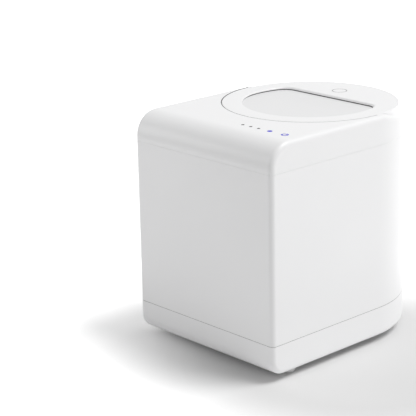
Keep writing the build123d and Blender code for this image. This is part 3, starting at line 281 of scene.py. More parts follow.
def solids(node):
    """Lowest and highest corner of each separate solid of a CAD node."""
    mesh = bmesh.new()
    mesh.from_mesh(frame["nodes"][node].data)
    bmesh.ops.remove_doubles(mesh, verts=mesh.verts, dist=1e-6)
    unseen, boxes = set(mesh.verts), []
    while unseen:
        reached = [unseen.pop()]
        for vert in reached:
            for edge in vert.link_edges:
                other = edge.other_vert(vert)
                if other in unseen:
                    unseen.remove(other)
                    reached.append(other)
        corners = list(zip(*(vert.co for vert in reached)))
        boxes.append((Vector(map(min, corners)), Vector(map(max, corners))))
    mesh.free()
    return sorted(boxes, key=lambda box: tuple(box[0]))


foot_finish = moulded("pale_grey_tpe", FOOT_GREY, 0.55, 900.0)
foot = Recipe("foot", Height=float, Radius=float, Tread=float, Chamfer=float, Stem=float,
              Stem_Length=float, Rib=float, Rings=int)
radius, tread, chamfer = foot.given("Radius"), foot.given("Tread"), foot.given("Chamfer")
sole = foot.cone(FOOT_SIDES, tread - chamfer, tread, chamfer)
pad = foot.moved(foot.cone(FOOT_SIDES, tread, radius, foot.given("Height") - chamfer),
                 Translation=foot.vector(z=chamfer))
stem = foot.moved(foot.cone(STEM_SIDES, foot.given("Stem"),
                            foot.given("Stem") - chamfer * STEM_TAPER, foot.given("Stem Length")),
                  Translation=foot.vector(z=foot.given("Height")))
ring_index = foot.node("GeometryNodeInputIndex")
ring_size = (ring_index + 1) * (tread / (foot.given("Rings") + 1))
rings = foot.placed(foot.circle(1.0, FOOT_SIDES),
                    foot.node("GeometryNodeMeshLine", None,
                              {"Count": foot.given("Rings"), "Offset": (0, 0, 0)}),
                    Scale=foot.vector(ring_size, ring_size, 1.0))
ribs = foot.moved(foot.tube(foot.node("GeometryNodeRealizeInstances", None, {0: rings}),
                            foot.given("Rib"), RIB_SIDES),
                  Translation=foot.vector(z=foot.given("Rib")))
foot.close(foot.placed(foot.joined(sole, pad, stem, ribs)))
foot_places = [((low.x + high.x) / 2, (low.y + high.y) / 2, 0) for low, high in solids("feet")]
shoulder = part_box("base_tray")[0].z
feet = made(foot, "tpe_feet", foot_places, foot_finish, Height=shoulder, Radius=FOOT_RADIUS,
            Tread=FOOT_TREAD, Chamfer=FOOT_CHAMFER, Stem=FOOT_STEM,
            Stem_Length=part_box("feet")[1].z - shoulder, Rib=FOOT_RIB, Rings=FOOT_RINGS)
fitted(feet, "housing", "foot_grey", "feet")

# ---------------------------------------------------------------- gearbox, motor and drive
# A glass-filled nylon gearbox bolts to the tray.  A DC motor on its cover turns two nylon
# gear stages, and the output shaft ends under the well in a three-dog coupling.
CASE_GREY, GEAR_IVORY = (0.13, 0.135, 0.14, 1), (0.78, 0.75, 0.66, 1)
MOTOR_ZINC, STEEL, BRONZE = (0.42, 0.43, 0.44, 1), (0.62, 0.62, 0.63, 1), (0.62, 0.42, 0.22, 1)
SCREW_ZINC = (0.66, 0.66, 0.64, 1)


def metal(name, colour, roughness, run=(1, 1, 1), scale=700.0, depth=0.00001, **plain):
    """Bare metal; its tool marks run long where the factor is small."""
    finish = Finish(name, Metallic=1.0, **plain)
    marks = finish.noise(scale, 3.0, finish.stretched(*run))
    stain = finish.noise(45.0)
    finish.feed(Base_Color=finish.tint(stain, shaded(colour, 0.9), colour),
                Roughness=roughness - 0.06 + 0.12 * marks)
    finish.relief(marks, depth, 0.4)
    return finish


case_finish = moulded("glass_filled_nylon", CASE_GREY, 0.48, 500.0, 0.00005)
case_finish.paint("gearbox_case", "gearbox_cover")
gear_nylon = moulded("gear_nylon", GEAR_IVORY, 0.34, 600.0, 0.00001)
gear_nylon.paint("output_gear", "idler_gear", "drive_coupling")
metal("zinc_plated_can", MOTOR_ZINC, 0.38, (1, 1, 0.1)).paint("motor")
turned_steel = metal("turned_steel", STEEL, 0.26, (0.15, 0.15, 1))
turned_steel.paint("motor_shaft", "motor_pinion", "idler_pin", "output_shaft")
sintered = metal("sintered_bronze", BRONZE, 0.45, scale=2600.0, depth=0.00004)
sintered.paint("output_bushes", "shaft_bush")

# ---------------------------------------------------------------- gearbox and tray screws
# Zinc-plated cross-recess screws hold the gearbox to the tray, and longer ones go up through
# the tray's posts into the wall.
HEAD_HEIGHT, LOW_HEAD, SHANK_RADIUS = 0.003, 0.002, 0.002
HEAD_TAPER, CROSS_REACH, CROSS_WIDTH, CROSS_DEPTH = 0.84, 1.2, 0.24, 1.1
THREAD_LENGTH, THREAD_PITCH, THREAD_CORE, THREAD_SHARE = 0.011, 0.0014, 0.78, 0.5
HEAD_SIDES, SHANK_SIDES, THREAD_SIDES, TIP_SHARE = 32, 20, 4, 0.3

zinc = metal("zinc_plate", SCREW_ZINC, 0.3, scale=1500.0)
screw = Recipe("cross_recess_screw", Head_Radius=float, Head_Height=float, Shank_Radius=float,
               Length=float, Thread_Length=float, Pitch=float, Turn=Vector)
head_radius, head_height = screw.given("Head Radius"), screw.given("Head Height")
shank, length = screw.given("Shank Radius"), screw.given("Length")
thread_length, pitch = screw.given("Thread Length"), screw.given("Pitch")
head = screw.cone(HEAD_SIDES, head_radius * HEAD_TAPER, head_radius, head_height)
bars = [screw.node("GeometryNodeMeshCube", None,
                   {"Size": screw.vector(*sides, head_height * CROSS_DEPTH)})
        for sides in ((head_radius * CROSS_REACH, head_radius * CROSS_WIDTH),
                      (head_radius * CROSS_WIDTH, head_radius * CROSS_REACH))]
recessed = screw.node("GeometryNodeMeshBoolean", {"operation": "DIFFERENCE"}, {0: head, 1: bars})
core = shank * THREAD_CORE
rod = screw.moved(screw.cone(SHANK_SIDES, core, core, length - head_height - core),
                  Translation=screw.vector(z=head_height))
tip = screw.moved(screw.cone(SHANK_SIDES, core, core * TIP_SHARE, core),
                  Translation=screw.vector(z=length - core))
helix = screw.node("GeometryNodeCurveSpiral", None,
                   {"Resolution": SHANK_SIDES, "Rotations": thread_length / pitch,
                    "Start Radius": core, "End Radius": core, "Height": thread_length})
thread = screw.moved(screw.tube(helix, shank - core, THREAD_SIDES),
                     Translation=screw.vector(z=length - core - thread_length))
screw.close(screw.placed(screw.joined(recessed, rod, tip, thread), Rotation=screw.given("Turn")))


def screwed(name, node, turn):
    """Screws where the CAD node has its solids; the turn brings their heads to the outside."""
    boxes, points = solids(node), []
    axis = 1 if turn[0] == pi / 2 else 2
    for low, high in boxes:
        point = (low + high) / 2
        point[axis] = high[axis] if turn[0] else low[axis]
        points.append(tuple(point))
    low, high = boxes[0]
    piece = made(screw, name, points, zinc, Head_Radius=(high.x - low.x) / 2,
                 Head_Height=HEAD_HEIGHT if axis == 2 else LOW_HEAD, Shank_Radius=SHANK_RADIUS,
                 Length=high[axis] - low[axis],
                 Thread_Length=min(THREAD_LENGTH, (high[axis] - low[axis]) * THREAD_SHARE),
                 Pitch=THREAD_PITCH, Turn=Vector(turn))
    fitted(piece, "housing", "screw_steel", node)


screwed("gearbox_cross_screws", "gearbox_screws", (pi, 0, 0))
screwed("tray_cross_screws", "tray_screws", (0, 0, 0))

# ---------------------------------------------------------------- main board
# A glass-epoxy board stands in slotted ribs behind the front wall.  The mains transformer,
# two relays and three electrolytic capacitors are soldered to it.
BOARD_GREEN, TRACE_GREEN = (0.012, 0.10, 0.045, 1), (0.03, 0.2, 0.09, 1)
RELAY_BLACK, FERRITE = (0.02, 0.02, 0.022, 1), (0.05, 0.05, 0.05, 1)
TAPE_YELLOW, SLEEVE_BLUE = (0.72, 0.5, 0.06, 1), (0.02, 0.05, 0.16, 1)
# the widths in millimetres tell the parts on the board apart
CORE_WIDTH, RELAY_WIDTH, CAN_WIDTH = 24, 13, 12
CORE_INSET, TAPE_INSET, PART_EDGE = Vector((0.003, 0.0015, 0)), Vector((0, 0, 0.0055)), 0.0006
CAN_RADIUS, CAN_LIP, CAN_SIDES, SCORE_DEPTH = 0.006, 0.12, 32, 0.3

board_finish = Finish("solder_mask", Roughness=0.3, Coat_Weight=0.2)
cells = board_finish.node("ShaderNodeTexVoronoi", {"distance": "CHEBYCHEV"},
                          {"Vector": board_finish.place, "Scale": 90.0}, "Distance")
tracks = cells.math("PINGPONG", cells, 0.09).between(0.03, 0.05)
board_finish.feed(Base_Color=board_finish.tint(tracks, BOARD_GREEN, TRACE_GREEN),
                  Roughness=0.26 + 0.1 * tracks)
board_finish.relief(tracks, 0.00003, 0.6)
board_finish.paint("main_board")


def as_piece(name, mesh, finish, sharp=None):
    """The mesh as a piece with that finish, smooth up to the sharp angle if there is one."""
    data = bpy.data.meshes.new(name)
    mesh.to_mesh(data)
    mesh.free()
    if sharp:
        data.shade_smooth()
        data.set_sharp_from_angle(angle=sharp)
    data.materials.append(finish.material)
    piece = bpy.data.objects.new(name, data)
    bpy.context.scene.collection.objects.link(piece)
    return piece


def bevelled(name, finish, *boxes):
    """Boxes with small round edges as one piece."""
    mesh = bmesh.new()
    for low, high in boxes:
        cube = bmesh.ops.create_cube(mesh, size=1)["verts"]
        bmesh.ops.scale(mesh, vec=Vector(high) - Vector(low), verts=cube)
        bmesh.ops.translate(mesh, vec=(Vector(low) + Vector(high)) / 2, verts=cube)
    bmesh.ops.bevel(mesh, geom=mesh.edges[:], offset=PART_EDGE, segments=3, profile=0.5,
                    affect="EDGES")
    return as_piece(name, mesh, finish, SHARP_EDGE)


parts = solids("board_parts")
widths = [round((high.x - low.x) * 1000) for low, high in parts]
core_low, core_high = parts[widths.index(CORE_WIDTH)]
fitted(bevelled("transformer_core", moulded("ferrite", FERRITE, 0.5, 800.0),
                (core_low + CORE_INSET, core_high - CORE_INSET)),
       "housing", "black_plastic", "board_parts")
fitted(bevelled("transformer_tape", moulded("yellow_tape", TAPE_YELLOW, 0.3, 300.0),
                (core_low + TAPE_INSET, core_high - TAPE_INSET)),
       "housing", "black_plastic", "board_parts")
relay_finish = moulded("relay_case", RELAY_BLACK, 0.3, 900.0)
fitted(bevelled("relays", relay_finish,
                *[part for part, width in zip(parts, widths) if width == RELAY_WIDTH]),
       "housing", "black_plastic", "board_parts")

can = Recipe("capacitor", Radius=float, Height=float)
can_radius, can_height = can.given("Radius"), can.given("Height")
can_lip = can_radius * CAN_LIP
sleeve = can.cone(CAN_SIDES, can_radius, can_radius, can_height - can_lip)
crown = can.moved(can.cone(CAN_SIDES, can_radius, can_radius - can_lip, can_lip),
                  Translation=can.vector(z=can_height - can_lip))
score = can.node("GeometryNodeMeshCube", None, {"Size": can.vector(can_radius, can_lip, can_lip)})
cross = [can.moved(score, Translation=can.vector(z=can_height - can_lip * SCORE_DEPTH),
                   Rotation=(0, 0, turn))
         for turn in (0.0, pi / 2)]
can.close(can.placed(can.joined(sleeve, crown, *cross), Rotation=(-pi / 2, 0, 0)))
sleeve_finish = moulded("capacitor_sleeve", SLEEVE_BLUE, 0.25, 700.0)
can_places = [((low.x + high.x) / 2, low.y, (low.z + high.z) / 2)
              for (low, high), width in zip(parts, widths) if width == CAN_WIDTH]
fitted(made(can, "capacitors", can_places, sleeve_finish, Radius=CAN_RADIUS,
            Height=parts[0][1].y - parts[0][0].y),
       "housing", "black_plastic", "board_parts")

# ---------------------------------------------------------------- mains inlet
# A black appliance socket with three nickel-brass pins sits in a grey cup behind the wall,
# held by two short screws through its flange.
INNER_GREY, SOCKET_BLACK = (0.52, 0.53, 0.54, 1), (0.028, 0.028, 0.03, 1)
PIN_BRASS = (0.72, 0.66, 0.5, 1)
inner_pp = moulded("inner_grey_pp", INNER_GREY, 0.42, 1100.0)
inner_pp.paint("inlet_cup")
black_pa = moulded("black_polyamide", SOCKET_BLACK, 0.35, 1300.0)
black_pa.paint("inlet_socket")
metal("nickel_brass", PIN_BRASS, 0.22, (1, 0.1, 1)).paint("inlet_pins")
screwed("inlet_cross_screws", "inlet_screws", (pi / 2, 0, 0))

# ---------------------------------------------------------------- wall
# One white ABS wall stands on a dark grey strip, painted shade that deepens the lower seam's
# shadow line, and carries the top cap on a white one.
# Five upright slots behind let the filtered air out, and a fine woven steel screen covers
# them inside.
SEAM_HEIGHT, SEAM_DEPTH, SEAM_CORNER, SEAM_SHADOW_GREY = 0.0006, 0.001, 0.007, (0.2, 0.2, 0.2, 1)
UPPER_INSET, LOWER_INSET, ARC_STEPS, CORNER_STEPS = 0.0003, 0.00015, 96, 8
WIRE, WIRE_PITCH, WIRE_SIDES, DUCT_WALL, SCREEN_DEPTH = 0.00022, 0.0014, 6, 0.002, 0.004
BENT_EDGE = radians(50)

white_abs.paint("body_wrap")


def joined_rows(mesh, rows, closed):
    """Joins rows of a closed section with faces, in a loop or with a cap at each end."""
    for row, following in zip(rows, rows[1:] + rows[:1] if closed else rows[1:]):
        for at in range(len(row)):
            after = (at + 1) % len(row)
            mesh.faces.new((row[at], following[at], following[after], row[after]))
    if not closed:
        mesh.faces.new(rows[0])
        mesh.faces.new(rows[-1][::-1])


def solid(name, rows, finish, closed=False):
    """A body through rows of a section."""
    mesh = bmesh.new()
    joined_rows(mesh, [[mesh.verts.new(point) for point in row] for row in rows], closed)
    bmesh.ops.recalc_face_normals(mesh, faces=mesh.faces)
    return as_piece(name, mesh, finish, BENT_EDGE)


# centre, radius and direction of each point of the wall's outline: round behind, small
# corners in front
wrap_low, wrap_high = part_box("body_wrap")
outline = [(Vector((0, wrap_high.y - wrap_high.x, 0)), wrap_high.x, pi * at / ARC_STEPS)
           for at in range(ARC_STEPS + 1)]
outline += [(Vector((side * (wrap_high.x - SEAM_CORNER), wrap_low.y + SEAM_CORNER, 0)),
             SEAM_CORNER, first + pi / 2 * at / CORNER_STEPS)
            for side, first in ((-1, pi), (1, pi * 1.5)) for at in range(CORNER_STEPS + 1)]


def seam(name, joint_height, inset, finish, slot):
    """Flat strip round the outline, its top at the joint and its face set back by the inset."""
    low = joint_height - SEAM_HEIGHT
    rows = [[centre + (radius - past) * Vector((cos(turn), sin(turn), 0))
             + Vector((0, 0, low + rise))
             for past, rise in ((inset, 0), (inset, SEAM_HEIGHT),
                                (SEAM_DEPTH, SEAM_HEIGHT), (SEAM_DEPTH, 0))]
            for centre, radius, turn in outline]
    fitted(solid(name, rows, finish, True), "housing", slot)


# Painted shade: the dark grey strip in the lower seam's groove stands in for the shadow there.
seam_shadow_grey = moulded("seam_gasket", SEAM_SHADOW_GREY, 0.6, 900.0)
seam("lower_seam", wrap_low.z, LOWER_INSET, seam_shadow_grey, "foot_grey")
seam("upper_seam", wrap_high.z, UPPER_INSET, white_abs, "shell_white")

wires = Recipe("woven_screen", Width=float, Height=float, Pitch=float, Wire=float)
width, height, mesh_pitch = wires.given("Width"), wires.given("Height"), wires.given("Pitch")


def wire_row(reach, spread, upright):
    """Wires that reach one way and are a pitch apart the other way."""
    ends = [wires.vector(z=reach * side) if upright else wires.vector(x=reach * side)
            for side in (-0.5, 0.5)]
    line = wires.node("GeometryNodeCurvePrimitiveLine", None, {"Start": ends[0], "End": ends[1]})
    first = wires.vector(x=spread * -0.5) if upright else wires.vector(z=spread * -0.5)
    step = wires.vector(x=mesh_pitch) if upright else wires.vector(z=mesh_pitch)
    places = wires.node("GeometryNodeMeshLine", None,
                        {"Count": spread / mesh_pitch + 1, "Start Location": first, "Offset": step})
    return wires.placed(wires.tube(line, wires.given("Wire"), WIRE_SIDES), places)


wires.close(wires.placed(wires.joined(wire_row(height, width, True),
                                      wire_row(width, height, False))))
duct_low, duct_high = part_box("exhaust_duct")
duct_middle = (duct_low + duct_high) / 2
screen_place = (duct_middle.x, duct_high.y - SCREEN_DEPTH, duct_middle.z)
fitted(made(wires, "outlet_screen", [screen_place], turned_steel,
            Width=duct_high.x - duct_low.x - 2 * DUCT_WALL,
            Height=duct_high.z - duct_low.z - 2 * DUCT_WALL, Pitch=WIRE_PITCH, Wire=WIRE),
       "housing", "steel")

# ---------------------------------------------------------------- well and heater
# The bucket stands in a deep-drawn steel well wrapped in mineral felt.  A cast aluminium
# plate on the well's floor is heated by a flattened tube pressed against it from below.
WELL_STEEL, FELT, CAST = (0.6, 0.61, 0.62, 1), (0.3, 0.28, 0.25, 1), (0.56, 0.57, 0.58, 1)
metal("drawn_steel", WELL_STEEL, 0.28, (1, 1, 0.08), 500.0).paint("well_can")
felt = Finish("mineral_felt", Roughness=0.95, Specular_IOR_Level=0.1)
fibres = felt.noise(420.0, 6.0, felt.stretched(1, 1, 3))
felt.feed(Base_Color=felt.tint(fibres.between(0.35, 0.65), shaded(FELT, 0.6), FELT))
felt.relief(fibres, 0.0006, 0.8)
felt.paint("well_insulation")
sand_cast = metal("sand_cast_aluminium", CAST, 0.5, scale=1200.0, depth=0.00012)
sand_cast.paint("heater_plate")
metal("annealed_steel", shaded(STEEL, 0.75), 0.4, (1, 1, 1), 300.0).paint("heating_element")
black_pa.paint("thermostat")

# ---------------------------------------------------------------- blower, duct and filter sleeve
# A small blower under the filter draws air down through the carbon and pushes it out
# behind.  Housing and wheel are dark nylon, duct and sleeve grey polypropylene.
case_finish.paint("blower_housing")
black_pa.paint("blower_wheel", "blower_motor")
inner_pp.paint("exhaust_duct", "filter_sleeve")

# ---------------------------------------------------------------- inner deck
# The grey deck closes the housing round the well and carries the chamber wall with the
# lugs that the lid locks under.  Screws from below hold it to the top cap.
inner_pp.paint("inner_deck")
black_pa.paint("lid_switch")
screwed("deck_cross_screws", "deck_screws", (0, 0, 0))

# ---------------------------------------------------------------- top cap and controls
# The cap rolls over from the front wall and falls away behind the lid.  Four light guides
# come up from a small board to flat windows, three smoked and one blue, and the touch key's
# mark is printed in blue above its pad.
DOT_SMOKE, LIGHT_BLUE = (0.015, 0.015, 0.016, 1), (0.006, 0.006, 0.26, 1)
BLUE_GLOW, GLOW_LEVEL = (0.02, 0.02, 0.75, 1), 0.5
KEY_OUTER, KEY_INNER, KEY_GAP, KEY_BAR, KEY_FILM = 0.0053, 0.0033, 32, 0.0045, 0.00006
BAR_SINK, RING_STEPS = 0.4, 72
DOT_WINDOW, STATUS_WINDOW, WINDOW_TAPER, WINDOW_SIDES = 0.0023, 0.0036, 0.97, 32

white_abs.paint("top_cap")
screwed("cap_cross_screws", "cap_screws", (0, 0, 0))
board_finish.paint("control_board")
smoke = moulded("smoked_lens", DOT_SMOKE, 0.5, 700.0, Specular_IOR_Level=0.1)
smoke.paint("light_guides", "touch_pad")
lens_blue = Finish("blue_lens", Roughness=0.6, Specular_IOR_Level=0.0,
                   Emission_Strength=GLOW_LEVEL)
glow = lens_blue.noise(500.0)
lens_blue.feed(Base_Color=lens_blue.tint(glow, shaded(LIGHT_BLUE, 0.9), LIGHT_BLUE),
               Emission_Color=lens_blue.tint(glow, shaded(BLUE_GLOW, 0.9), BLUE_GLOW))
lens_blue.paint("status_light")


def flat_ring(name, finish, centre, outer, inner, film, gap=0, bar=0.0):
    """Thin ring, open over the gap in degrees at the back, with a bar standing in the gap."""
    x, y, z = centre
    mesh = bmesh.new()
    first, last = radians(90 + gap), radians(450 - gap)
    turns = [first + (last - first) * at / RING_STEPS
             for at in range(RING_STEPS + 1 if gap else RING_STEPS)]
    rows = [[mesh.verts.new((x + cos(turn) * radius, y + sin(turn) * radius, z + rise))
             for radius, rise in ((outer, -film), (outer, film), (inner, film), (inner, -film))]
            for turn in turns]
    joined_rows(mesh, rows, not gap)
    if gap:
        cube = bmesh.ops.create_cube(mesh, size=1)["verts"]
        bmesh.ops.scale(mesh, vec=(outer - inner, bar, 2 * film), verts=cube)
        bmesh.ops.translate(mesh, vec=(x, y + outer - bar * BAR_SINK, z), verts=cube)
    bmesh.ops.recalc_face_normals(mesh, faces=mesh.faces)
    return as_piece(name, mesh, finish)


pad_low, pad_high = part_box("touch_pad")
key_centre = ((pad_low.x + pad_high.x) / 2, (pad_low.y + pad_high.y) / 2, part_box("top_cap")[1].z)
key = flat_ring("touch_key_ring", lens_blue, key_centre, KEY_OUTER, KEY_INNER, KEY_FILM,
                KEY_GAP, KEY_BAR)
fitted(key, "housing", "light_blue")

window = Recipe("dot_window", Radius=float, Film=float)
window_radius = window.given("Radius")
window.close(window.placed(window.cone(WINDOW_SIDES, window_radius, window_radius * WINDOW_TAPER,
                                       window.given("Film"))))


def over(boxes):
    """Middle of the upper end of each box."""
    return [((low.x + high.x) / 2, (low.y + high.y) / 2, high.z) for low, high in boxes]


fitted(made(window, "dot_windows", over(solids("light_guides")), smoke,
            Radius=DOT_WINDOW, Film=KEY_FILM), "housing", "light_grey")
fitted(made(window, "status_window", over([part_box("status_light")]), lens_blue,
            Radius=STATUS_WINDOW, Film=KEY_FILM), "housing", "light_blue")

# ---------------------------------------------------------------- bucket
# A drawn aluminium bucket with a dark speckled non-stick coating lifts out of the well.
# Its wire handle folds down forwards over the flange and has a ribbed rubber grip.
COATING, FLECK = (0.045, 0.045, 0.048, 1), (0.26, 0.26, 0.27, 1)
RUBBER_BLACK = (0.025, 0.025, 0.025, 1)
FLECK_SCALE, GRIP_ARC, GRIP_RIBS, RIB_RADIUS, RIB_SINK = 520.0, 42.0, 15, 0.0007, 0.6
GRIP_STEPS, HOOP_SIDES = 48, 28

coating = Finish("speckled_coating", Specular_IOR_Level=0.6)
flecks = coating.node("ShaderNodeTexVoronoi", None,
                      {"Vector": coating.place, "Scale": FLECK_SCALE}, "Distance")
spread = coating.noise(160.0)
flecked = 1.0 - (flecks + spread * 0.35).between(0.26, 0.34)
orange_peel = coating.noise(1400.0)
coating.feed(Base_Color=coating.tint(flecked, COATING, FLECK), Roughness=0.34 + 0.12 * orange_peel)
coating.relief(orange_peel, 0.00003, 0.5)
coating.paint("bucket")
turned_steel.paint("bucket_bail", "rotor_shaft", "rotor_nut")

grip_low, grip_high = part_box("bail_grip")
bucket_low, bucket_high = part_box("bucket")
bucket_middle = (bucket_low + bucket_high) / 2
bail_height = (grip_low.z + grip_high.z) / 2
grip_radius = (grip_high.z - grip_low.z) / 2
swing = bucket_middle.y - grip_low.y - grip_radius
ribbed = Recipe("ribbed_grip", Swing=float, Radius=float, Arc=float, Rib=float, Count=int)
arc = ribbed.node("GeometryNodeCurveArc", None,
                  {"Resolution": GRIP_STEPS, "Radius": ribbed.given("Swing"),
                   "Start Angle": -pi / 2 - ribbed.given("Arc") * 0.5,
                   "Sweep Angle": ribbed.given("Arc")})
along_arc = {0: arc, "Count": ribbed.given("Count")}
rib_places = ribbed.node("GeometryNodeCurveToPoints", None, along_arc)
facing = ribbed.node("GeometryNodeCurveToPoints", None, along_arc, "Rotation")
hoop = ribbed.tube(ribbed.circle(ribbed.given("Radius"), HOOP_SIDES), ribbed.given("Rib"),
                   RIB_SIDES)
ribbed.close(ribbed.placed(ribbed.placed(hoop, rib_places, Rotation=facing)))
rubber = moulded("black_rubber", RUBBER_BLACK, 0.55, 900.0, 0.00004)
rubber.paint("bail_grip")
fitted(made(ribbed, "grip_ribs", [(0, bucket_middle.y, bail_height)], rubber, Swing=swing,
            Radius=grip_radius - RIB_RADIUS * RIB_SINK, Arc=radians(GRIP_ARC), Rib=RIB_RADIUS,
            Count=GRIP_RIBS),
       "bail", "black_plastic")

# ---------------------------------------------------------------- grinder
# The cast aluminium grinder sits on its shaft over the hollow in the bucket's floor, under a
# locking nut.  Three ground steel blades stand out of the bucket's wall between its arms.
sand_cast.paint("grinder_rotor")
metal("ground_steel", STEEL, 0.2, (1, 1, 0.05), 900.0).paint("fixed_blades", "driven_coupling")

# ---------------------------------------------------------------- carbon filter
# The white filter canister is full of carbon granules and pulls out by the bar on its cap.
# A scrim of spun fibre under the cap's vents keeps the dust in.
FILTER_WHITE, CARBON, SCRIM = (0.78, 0.78, 0.76, 1), (0.02, 0.02, 0.021, 1), (0.4, 0.41, 0.41, 1)
SCRIM_DROP, SCRIM_HALF, SCRIM_MARGIN, SCRIM_STEPS = 0.0007, 0.00025, 0.0019, 128
SAME_POINT = 1e-7
moulded("white_polypropylene", FILTER_WHITE, 0.4, 1000.0).paint("filter_canister", "filter_cap")
granules = Finish("carbon_granules", Roughness=0.7)
crevice_shade_and_depth = granules.node("ShaderNodeTexVoronoi", None, {"Vector": granules.place, "Scale": 420.0},
                       "Distance")
# Painted shade and light: each granule is lighter in its middle and darker towards the crevices
# between granules.
granules.feed(Base_Color=granules.tint(crevice_shade_and_depth, shaded(CARBON, 1.8), shaded(CARBON, 0.3)))
granules.relief(1.0 - crevice_shade_and_depth, 0.0012, 0.9)
granules.paint("carbon_bed")

scrim_finish = Finish("spun_fibre", Roughness=0.9, Specular_IOR_Level=0.2)
threads = scrim_finish.noise(900.0, 5.0, scrim_finish.stretched(1, 0.25, 1))
scrim_finish.feed(Base_Color=scrim_finish.tint(threads.between(0.4, 0.6),
                                               shaded(SCRIM, 0.45), SCRIM))
scrim_finish.relief(threads, 0.0002, 0.8)


def turned(name, finish, centre, profile, steps):
    """Body of revolution: a closed profile of (radius, height) that keeps off the axis is a
    ring, and an open one from axis to axis is solid."""
    mesh = bmesh.new()
    closed = min(radius for radius, _ in profile) > 0
    x, y, z = centre
    rows = [[mesh.verts.new((x + cos(turn) * radius, y + sin(turn) * radius, z + rise))
             for radius, rise in profile]
            for turn in (2 * pi * at / steps for at in range(steps))]
    spans = range(len(profile) if closed else len(profile) - 1)
    for row, following in zip(rows, rows[1:] + rows[:1]):
        for at in spans:
            nxt = (at + 1) % len(profile)
            mesh.faces.new((row[at], following[at], following[nxt], row[nxt]))
    bmesh.ops.remove_doubles(mesh, verts=mesh.verts, dist=SAME_POINT)
    bmesh.ops.recalc_face_normals(mesh, faces=mesh.faces)
    return as_piece(name, mesh, finish, SHARP_EDGE)


cap_low, cap_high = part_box("filter_cap")
can_low, can_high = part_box("filter_canister")
scrim_radius = (can_high.x - can_low.x) / 2 - 2 * SCRIM_MARGIN
scrim = turned("filter_scrim", scrim_finish,
               ((cap_low.x + cap_high.x) / 2, (cap_low.y + cap_high.y) / 2, cap_low.z - SCRIM_DROP),
               [(0, -SCRIM_HALF), (scrim_radius, -SCRIM_HALF), (scrim_radius + SCRIM_HALF, 0),
                (scrim_radius, SCRIM_HALF), (0, SCRIM_HALF)], SCRIM_STEPS)
fitted(scrim, "filter", "felt")

# ---------------------------------------------------------------- lid
# The white lid turns on its inner plate to lock.  A satin insert, its colour a little darker
# as painted shade, a sloped rim and a dark grey strip under the rim's overhang, painted
# shadow for the line there, line its recess.  A dark bead on the housing, painted shadow,
# fills the gap round its front, and a silicone gasket with two lips seals the plate.
SHADOW_LINE_GREY, GASKET_BLACK = (0.05, 0.05, 0.05, 1), (0.03, 0.03, 0.03, 1)
MARK_GREY, MAGNET_NICKEL = (0.28, 0.28, 0.28, 1), (0.6, 0.6, 0.58, 1)
RECESS_SHADE_WHITE = (0.78, 0.78, 0.785, 1)
LIP_GAP, LIP_DROP, LIP_SHARE, LIP_STEPS, LIP_SIDES = 0.0012, 0.0004, 0.45, 160, 10
MARK_OUTER, MARK_INNER, MARK_FILM, MARK_PLACE = 0.0112, 0.0099, 0.00005, (-0.0115, 0.0745)
GASKET_BEAD, GASKET_REACH, GASKET_STEPS = 0.0007, 3.5, 160
# the recess: its round side, how far behind the lid's middle its straight side lies, as a
# share of that radius, and its depth in front
RECESS_RADIUS, RECESS_SHARE, RECESS_LIP = 0.098, 0.454, 0.0006
INSERT_CORNER, INSERT_DEPTH, INSERT_GAP = 0.022, 0.0042, 0.0013
INSERT_SKIN, INSERT_STEPS = 0.0005, 24
RIM_SLOPE, RIM_LIFT, RIM_LAP, RIM_FILM = 0.6, 0.0001, 0.0003, 0.00003
RIM_STEPS, BEND_STEPS, FRONT_GAP, GRIP_RUN = 60, 16, 0.03, 0.5
# sections as shares of the rim's run and of its foot's depth, and of the strip's run alone
RIM_BEND, RIM_BELLY, RIM_HEEL = (0.72, 0.45), (1.0, 0.86), (0.96, 1.0)
STRIP_NEAR, STRIP_FAR = 0.2, 0.85

inner_pp.paint("lid_plate")
metal("nickel_plate", MAGNET_NICKEL, 0.25).paint("lid_magnet", "lid_pivot_screw")
lid_low, lid_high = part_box("lid_cover")
lid_centre = ((lid_low.x + lid_high.x) / 2, (lid_low.y + lid_high.y) / 2)
lid_radius = (lid_high.x - lid_low.x) / 2
white_abs.paint("lid_cover")

# half of the rim's path, from the front round to the straight side behind: each station's
# place, its direction outwards, and its room as far as the recess wall
lid_top, lid_middle = lid_high.z, Vector((*lid_centre, 0))
run_start, run_end = lid_centre[1] - RECESS_RADIUS, lid_centre[1] + RECESS_RADIUS * RECESS_SHARE
bend_y = run_end - INSERT_CORNER
bend_centre = Vector((((RECESS_RADIUS - INSERT_CORNER) ** 2 - (bend_y - lid_middle.y) ** 2) ** 0.5,
                      bend_y, 0))
bend_turn = (bend_centre - lid_middle).angle(Vector((1, 0, 0)))
stations = []
for at in range(RIM_STEPS + 1):
    turn = -pi / 2 + FRONT_GAP + (bend_turn + pi / 2 - FRONT_GAP) * at / RIM_STEPS
    outward = Vector((cos(turn), sin(turn), 0))
    stations.append((lid_middle + RECESS_RADIUS * outward, outward, RIM_LAP))
for at in range(1, BEND_STEPS + 1):
    turn = bend_turn + (pi / 2 - bend_turn) * at / BEND_STEPS
    outward = Vector((cos(turn), sin(turn), 0))
    place = bend_centre + INSERT_CORNER * outward
    past = place - lid_middle
    along = past.dot(outward)
    room = (along ** 2 - past.length_squared + RECESS_RADIUS ** 2) ** 0.5 - along
    stations.append((place, outward, min(room, (run_end - place.y) / outward.y) + RIM_LAP))


def share_at(place):
    """How far the place is along the recess, from its front to its straight side."""
    return min(max((place.y - run_start) / (run_end - run_start), 0.0), 1.0)


def insert_drop(left):
    """How deep the insert lies, by the share of its run that is left to the straight side."""
    return INSERT_DEPTH - (INSERT_DEPTH - RECESS_LIP) * left ** 2


def section_at(place, outward, corners):
    """Row of points from their insets and their rises over the lid."""
    return [place - outward * inset + Vector((0, 0, lid_top + rise)) for inset, rise in corners]


